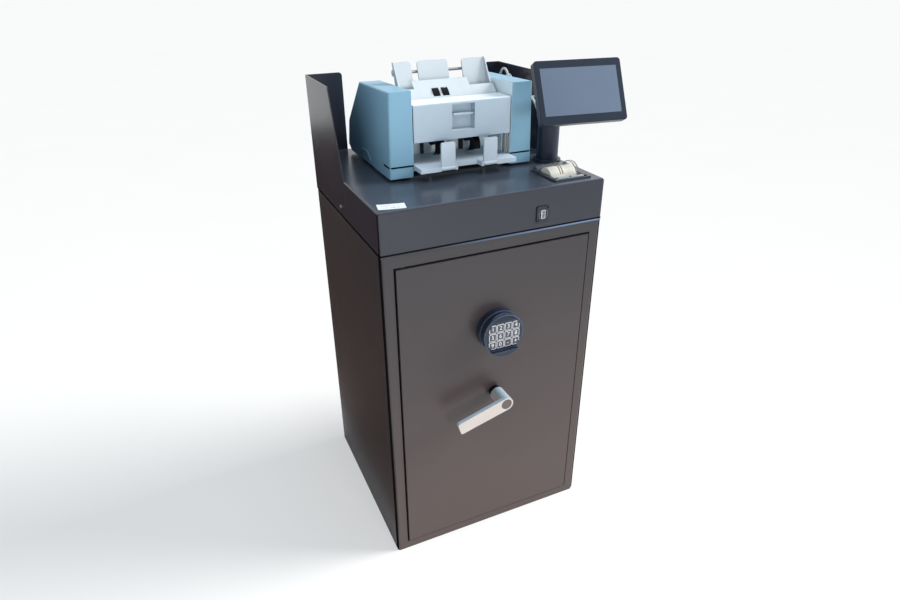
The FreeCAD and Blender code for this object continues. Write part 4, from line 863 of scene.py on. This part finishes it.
def label_finish(name):
    """Scuffed paper with two broken grey bars of faded ink."""
    finish = Finish(name)
    where = finish.place()
    fibre = finish.noise(where, scale=1400.0, detail=4.0, roughness=0.7)
    scuff = finish.ramp(finish.noise(where, scale=55.0, detail=5.0, roughness=0.7), low=0.5, high=0.75)
    rows = abs(abs(finish.along(where, "Y") + ink_down) - ink_apart) < ink_half_y
    columns = abs(finish.along(where, "X") + ink_left) < ink_half_x
    broken = finish.ramp(finish.streaks(where, (300.0, 40.0, 1.0), detail=2.0), low=0.42, high=0.5)
    tone = finish.between(scuff * 0.5, colour(222, 226, 230), colour(198, 203, 208))
    tone = finish.between(rows * columns * broken * 0.6, tone, colour(120, 130, 140))
    return finish.surface(tone, 0.6, fibre, fine_grain)


label_sheet = bmesh.new()
bmesh.ops.create_grid(label_sheet, x_segments=18, y_segments=12, size=1.0)
for vertex in label_sheet.verts:
    corner = abs(vertex.co.x) ** 6 * abs(vertex.co.y) ** 6
    rise = label_lift + corner_curl * corner
    vertex.co = Vector((vertex.co.x * label_half_x, vertex.co.y * label_half_y, rise))
label_place = Matrix.Translation(label_centre) @ Matrix.Rotation(label_angle, 4, "Z")
label_paper = label_finish("label_paper")
smooth(piece_from("deck_label", label_sheet, label_paper, "cabinet", label_place))
print("label", 2 * label_half_x, "x", 2 * label_half_y)

# %% [markdown]
# Beside the feed ramp the hopper is closed by white sheet cheeks, so no one sees the drive from above. Each
# cheek carries the ramp's slope on to the side: full height as far as the width guides travel, and lower
# beyond, where a guide's foot passes behind it.

# %% Hopper cheeks
cheek_sheet = 0.0020
cheek_front = -0.0145
cheek_foot = deck_height + 0.1291
cheek_bend = deck_height + 0.1350
ramp_back = 0.0180
ramp_top = deck_height + 0.1640
cheek_slope = (ramp_top - cheek_bend) / (ramp_back - cheek_front)
low_back = 0.0040
back_drop = cheek_sheet * 1.4
bend_drop = cheek_sheet * 0.5
cheeks = {
    "cheek_left": (-0.0685, -0.0610, ramp_back),
    "cheek_left_low": (-0.0985, -0.0685, low_back),
    "cheek_right": (0.0290, 0.0475, ramp_back),
    "cheek_right_low": (0.0475, 0.0985, low_back),
}
for cheek_name, (start, end, back) in cheeks.items():
    top = cheek_bend + (back - cheek_front) * cheek_slope
    inside = cheek_front + cheek_sheet
    profile = ((cheek_front, cheek_foot), (cheek_front, cheek_bend), (back, top),
               (back, top - back_drop), (inside, cheek_bend - bend_drop), (inside, cheek_foot))
    cheek = pulled([(start, y, z) for y, z in profile], (end - start, 0, 0))
    smooth(piece_from(cheek_name, cheek, white_plastic, "cabinet"), angle=20.0)
print("cheeks", len(cheeks))

# %% [markdown]
# Where each side casing meets its plinth, the shade of the narrow gap is painted as a dark line. It is a
# thin dark angle round the plinth's front corner that lies a hair outside both, so the joint reads from a
# distance. It has no shine.

# %% Plinth shade strips
# Black, shineless strips that paint the shade in narrow gaps.
gasket_rubber = soft_rubber("gasket_rubber", shine=0.0)
plinth_shade_low = deck_height + 0.0250
plinth_shade_height = 0.0030
plinth_shade_proud = 0.0003
plinth_shade_width = 0.0020
plinth_shade_front = -0.0660
plinth_shade_back = -0.0335
outer_cut = 0.003
inner_cut = 0.004
for side, sign, outer, inner in (("left", -1, -0.14885, -0.1015), ("right", 1, 0.15085, 0.1035)):
    face_x = outer + sign * plinth_shade_proud
    face_y = plinth_shade_front - plinth_shade_proud
    rear_x = outer - sign * plinth_shade_width
    rear_y = plinth_shade_front + plinth_shade_width
    outline = ((inner, face_y), (outer - sign * outer_cut, face_y), (face_x, plinth_shade_front + outer_cut),
               (face_x, plinth_shade_back), (rear_x, plinth_shade_back), (rear_x, plinth_shade_front + inner_cut),
               (outer - sign * inner_cut, rear_y), (inner, rear_y))
    plinth_shade_strip = pulled([(x, y, plinth_shade_low) for x, y in outline], (0, 0, plinth_shade_height))
    piece_from("gasket_" + side, plinth_shade_strip, gasket_rubber, "cabinet")
print("two plinth_shade_strips")

# %% [markdown]
# The console sits on the safe with a narrow gap, and the gap's shade is painted: a dark strip round three
# sides, made of three thin bars that are joined to one piece. The side bars reach a little lower, over the
# safe's upper edge, and paint shade there too.

# %% Console gap
joint_height = 0.700
cabinet_half = 0.225
cabinet_front = -0.214
strip_back = 0.205
strip_proud = 0.0002
strip_depth = 0.0020
strip_top = joint_height + 0.0030
side_low = joint_height - 0.0022
outer_x = cabinet_half + strip_proud
inner_x = cabinet_half - strip_depth
strips = (
    ((-cabinet_half, cabinet_front - strip_proud, joint_height),
     (cabinet_half, cabinet_front + strip_depth, strip_top)),
    ((-outer_x, cabinet_front, side_low), (-inner_x, strip_back, strip_top)),
    ((inner_x, cabinet_front, side_low), (outer_x, strip_back, strip_top)),
)
# The strip is painted shade in the gap.
gap = bmesh.new()
for low, high in strips:
    strip = bevelled_box(low, high, edge=0.0001, segments=1)
    strip_mesh = bpy.data.meshes.new("strip")
    strip.to_mesh(strip_mesh)
    strip.free()
    gap.from_mesh(strip_mesh)
piece_from("console_gap_shade", gap, gasket_rubber, "cabinet")
print("console gap of", len(strips), "strips")

# %% [markdown]
# The safe's top front edge is a rolled bead that catches the light from above, more so toward the right. It
# is a half-round bar, and that light is a painted reflection: its paint turns cooler and brighter along it.


# %% Rolled bead
def painted_bead_reflection(name):
    """Painted reflection on the rolled edge: plain at the left end, cool and bright toward the right end."""
    finish = Finish(name)
    where = finish.place()
    drift = finish.noise(where, scale=25.0, detail=3.0)
    # The rise along X is the painted reflection.
    climb = finish.ramp(finish.along(where, "X") + (drift - 0.5) * 0.05, low=-0.13, high=0.13)
    tone = finish.between(climb, colour(46, 47, 54), colour(96, 118, 150))
    skin = finish.noise(where, scale=950.0)
    return finish.surface(tone, 0.3 + drift * 0.1, skin, depth=0.000006)


bead_radius = 0.0017
bead_bulge = bead_radius * 0.6
bead_height = joint_height - 0.0018
bead_half = cabinet_half - 0.0005
bead_steps = 12
bead_rows = []
for x in (-bead_half, bead_half):
    angles = [math.radians(90 + 180 * step / bead_steps) for step in range(bead_steps + 1)]
    bead_rows.append([(x, cabinet_front + bead_bulge * math.cos(angle),
                       bead_height + bead_radius * math.sin(angle)) for angle in angles])
bead_reflection_paint = painted_bead_reflection("bead_reflection_paint")
smooth(piece_from("safe_bead", skinned(bead_rows, capped=True), bead_reflection_paint, "cabinet"))
print("bead", 2 * bead_half, "long")

# %% [markdown]
# The side sheets stop short of the front frame, and the seam between them reads as a black upright line at
# each front corner. A thin dark strip lies in it as painted shade, broad on the safe and narrow on the
# console.

# %% Corner seams
seam_front = cabinet_front + 0.0012
seam_levels = (("safe", 0.004, 0.6995, 0.0085), ("console", 0.7035, 0.7760, 0.0040))
for side, sign in (("left", -1), ("right", 1)):
    near_x, far_x = sorted((sign * outer_x, sign * inner_x))
    for level_name, bottom, top, width in seam_levels:
        seam_low = (near_x, seam_front, bottom)
        seam_high = (far_x, seam_front + width, top)
        # Each strip is painted shade in the seam.
        seam = bevelled_box(seam_low, seam_high, edge=0.0001, segments=1)
        piece_from("%s_seam_%s" % (level_name, side), seam, gasket_rubber, "cabinet")
print("corner seams", 2 * len(seam_levels))

# %% [markdown]
# A pale lip along the edge of the hand grip, low on the counter's left casing, is a painted highlight of that
# edge. It is a thin bar bent at one corner and half sunk into the wall, made in the same way as the leads but
# with straight stretches.

# %% Grip lip
grip_highlight_plastic = moulded_plastic("grip_highlight_plastic", colour(150, 188, 206), gloss=0.4)
casing_wall = -0.1489
grip_thickness = 0.0014
grip_corners = [(casing_wall, 0.102, 0.8060), (casing_wall, 0.065, 0.8080), (casing_wall, 0.045, 0.7930)]
bent_bar("casing_grip_highlight", grip_corners, grip_thickness, "POLY", grip_highlight_plastic, roundness=4)
print("grip lip", len(grip_corners), "corners")

# %% [markdown]
# The printer's clear lid has two pairs of brown stiffening ribs over the dome. They are strips that follow
# the dome's curve a fraction outside it, so each one is a row of small sections skinned from foot to foot.

# %% Lid ribs
band_plastic = moulded_plastic("band_plastic", colour(122, 108, 92), gloss=0.4)
dome_y = -0.146
dome_z = 0.770
dome_radius = 0.0290
band_half = 0.00085
band_low = dome_radius + 0.00005
band_high = dome_radius + 0.0007
band_steps = 28
first_angle = math.radians(29.0)
last_angle = math.radians(151.0)
band_places = (0.1550, 0.1602, 0.1900, 0.1958)
for index, band_x in enumerate(band_places):
    section = ((-band_half, band_low), (-band_half, band_high),
               (band_half, band_high), (band_half, band_low))
    rows = []
    for step in range(band_steps + 1):
        angle = first_angle + (last_angle - first_angle) * step / band_steps
        rows.append([(band_x + offset, dome_y - reach * math.cos(angle), dome_z + reach * math.sin(angle))
                     for offset, reach in section])
    band = skinned(rows, wrap_row=True, capped=True)
    band_piece = piece_from("lid_band_%d" % index, band, band_plastic, "printer_lid")
    smooth(band_piece, angle=35.0)
print("lid ribs", len(band_places))

# %% [markdown]
# In front of the lid the bezel has a grey tear bar with two dark pads on it. A rounded box and two short
# pegs are enough at this size.

# %% Printer bar and pads
bar_plastic = moulded_plastic("bar_plastic", colour(150, 158, 166), gloss=0.34)
bar_low = (0.1305, -0.1940, 0.7819)
bar_high = (0.1925, -0.1868, 0.7842)
bar = bevelled_box(bar_low, bar_high, edge=0.0007)
smooth(piece_from("printer_front_bar", bar, bar_plastic, "cabinet"))
pad_y = -0.1904
pad_z = 0.7845
for index, pad_x in enumerate((0.1345, 0.1640)):
    pad = peg(base_radius=0.0026, tip_radius=0.0021, length=0.0008, sides=28)
    pad_place = Matrix.Translation((pad_x, pad_y, pad_z))
    smooth(piece_from("printer_pad_%d" % index, pad, black_plastic, "cabinet", pad_place))
print("printer bar and two pads")

# %% [markdown]
# Inside the pocket two black arms reach out over the stacker shaft and hold the notes down. Each is a flat
# strip: its route is offset to both sides by half a thickness, and the loop is pulled to the arm's width. A
# pair of thin bright rods stands at the right wall.

# %% Pocket arms and rods
arm_route = [(0.0112, 0.8495), (-0.020, 0.8500), (-0.031, 0.8485), (-0.0365, 0.8430), (-0.0385, 0.8340),
             (-0.0390, 0.8190)]
arm_thickness = 0.0028
arm_line = [Vector((0, y, z)) for y, z in arm_route]
upper = []
lower = []
for index, point in enumerate(arm_line):
    before = arm_line[max(index - 1, 0)]
    after = arm_line[min(index + 1, len(arm_line) - 1)]
    along = (after - before).normalized()
    across = Vector((0, -along.z, along.y)) * arm_thickness / 2
    upper.append(point + across)
    lower.append(point - across)
arm_loop = upper + lower[::-1]
for arm_name, start, end in (("pocket_arm_middle", 0.0035, 0.0125), ("pocket_arm_left", -0.0765, -0.0700)):
    arm = pulled([(start, point.y, point.z) for point in arm_loop], (end - start, 0, 0))
    smooth(piece_from(arm_name, arm, black_plastic, "cabinet"), angle=35.0)
rod_radius = 0.00125
rod_y = -0.0610
rod_z = 0.8255
for index, rod_x in enumerate((0.0945, 0.0985)):
    rod = peg(rod_radius, rod_radius, length=0.0408, sides=20)
    rod_place = Matrix.Translation((rod_x, rod_y, rod_z))
    smooth(piece_from("pocket_rod_%d" % index, rod, brown_metal, "cabinet", rod_place))
print("pocket arms and rods")

# %% [markdown]
# The stage starts with a plain pale floor. Part of its white is its own for the camera, so that it reads as
# the background, and the rest is a matt surface that keeps the soft shadow of the object.


# %% Floor
def flat_sheet(name, low, high, height, finish):
    """Level rectangle between two (x, y) corners."""
    mesh = bpy.data.meshes.new(name)
    outline = (low, (high[0], low[1]), high, (low[0], high[1]))
    mesh.from_pydata([(x, y, height) for x, y in outline], [], [(0, 1, 2, 3)])
    mesh.materials.append(finish)
    return put(name, mesh)


floor_reach = 80.0
own_white = 0.45
pure_white = (1.0, 1.0, 1.0, 1.0)
floor_finish = Finish("pale_floor")
floor_drift = floor_finish.noise(floor_finish.place(), scale=2.0, detail=3.0)
floor_tone = floor_finish.between(floor_drift, colour(241, 241, 240), colour(246, 246, 245))
matt = floor_finish.add("ShaderNodeBsdfDiffuse", {}, {"Color": floor_tone})
white = floor_finish.add("ShaderNodeEmission", {}, {"Color": pure_white, "Strength": 1.0})
seen = floor_finish.add("ShaderNodeLightPath", out="Is Camera Ray")
floor_mix = floor_finish.add("ShaderNodeMixShader", {}, {0: seen * own_white, 1: matt, 2: white})
floor_finish.add("ShaderNodeOutputMaterial", {}, {"Surface": floor_mix})
floor = flat_sheet("floor", (-floor_reach, -floor_reach), (floor_reach, floor_reach), 0, floor_finish.owner)
print("floor ready")

# %% [markdown]
# The sky gives a weak, cool and even light. For the camera, and in reflections and clear plastic, it is
# white, so metal and glass show the same background that the picture has.

# %% Sky
sky = Finish("studio", bpy.data.worlds)
shown = 0.0
for ray in ("Is Camera Ray", "Is Glossy Ray", "Is Transmission Ray"):
    shown = sky.add("ShaderNodeLightPath", out=ray).larger(shown)
sky_tint = (0.80, 0.91, 1.0, 1.0)
sky_strength = 0.32
soft_sky = sky.add("ShaderNodeBackground", {}, {"Color": sky_tint, "Strength": sky_strength})
white_sky = sky.add("ShaderNodeBackground", {}, {"Color": pure_white, "Strength": 1.0})
sky_mix = sky.add("ShaderNodeMixShader", {}, {0: shown, 1: soft_sky, 2: white_sky})
sky.add("ShaderNodeOutputWorld", {}, {"Surface": sky_mix})
bpy.context.scene.world = sky.owner
print("sky ready")

# %% [markdown]
# The lamps are soft: a broad window light from the right, a lamp overhead, one low in front and a cool one
# at the left. None of them shows in reflections, because a lamp's square on the paint would look like a
# fault.


# %% Lamps
def aim(item, direction):
    """Turn a lamp to shine along a direction, and hide it from reflections."""
    item.rotation_euler = Vector(direction).to_track_quat("-Z", "Y").to_euler()
    item.visible_glossy = False


def lamp(name, place, target, size, power, tint):
    """Soft square lamp that faces a target."""
    data = bpy.data.lights.new(name, "AREA")
    data.shape = "SQUARE"
    data.size = size
    data.energy = power
    data.color = tint
    item = put(name, data)
    item.location = place
    aim(item, Vector(target) - Vector(place))


lamp("top_lamp", (0.1, -0.2, 2.6), (0.0, -0.1, 0.8), size=0.9, power=11.5, tint=(0.86, 0.95, 1.0))
lamp("front_lamp", (0.15, -2.9, 0.75), (0.0, -0.1, 0.6), size=0.5, power=20.0, tint=(1.0, 0.97, 0.95))
lamp("side_lamp", (-1.8, -1.5, 1.7), (-0.1, 0.0, 0.85), size=1.0, power=8.5, tint=(0.80, 0.92, 1.0))
window_light = bpy.data.lights.new("window", "SUN")
window_light.energy = 4.9
window_light.angle = math.radians(30.0)
window_light.color = (1.0, 0.985, 0.965)
window_direction = (-0.86, 0.20, -0.48)
aim(put("window", window_light), window_direction)
print("four lights")

# %% [markdown]
# The cabinet's glossy left side mirrors the floor beside it. A dark brown card that only reflections can
# see lies there, as a black flag does in a studio, so that the side stays dark.

# %% Dark card
card_low = (-2.6, -0.5)
card_high = (-0.26, 4.0)
card_height = 0.003
card_finish = Finish("dark_card")
card_drift = card_finish.noise(card_finish.place(), scale=1.5, detail=2.0)
card_tone = card_finish.between(card_drift, colour(52, 36, 29), colour(84, 62, 52))
card_matt = card_finish.add("ShaderNodeBsdfDiffuse", {}, {"Color": card_tone})
card_finish.add("ShaderNodeOutputMaterial", {}, {"Surface": card_matt})
card = flat_sheet("dark_card", card_low, card_high, card_height, card_finish.owner)
card.visible_camera = False
card.visible_diffuse = False
card.visible_transmission = False
card.visible_shadow = False
print("dark card ready")
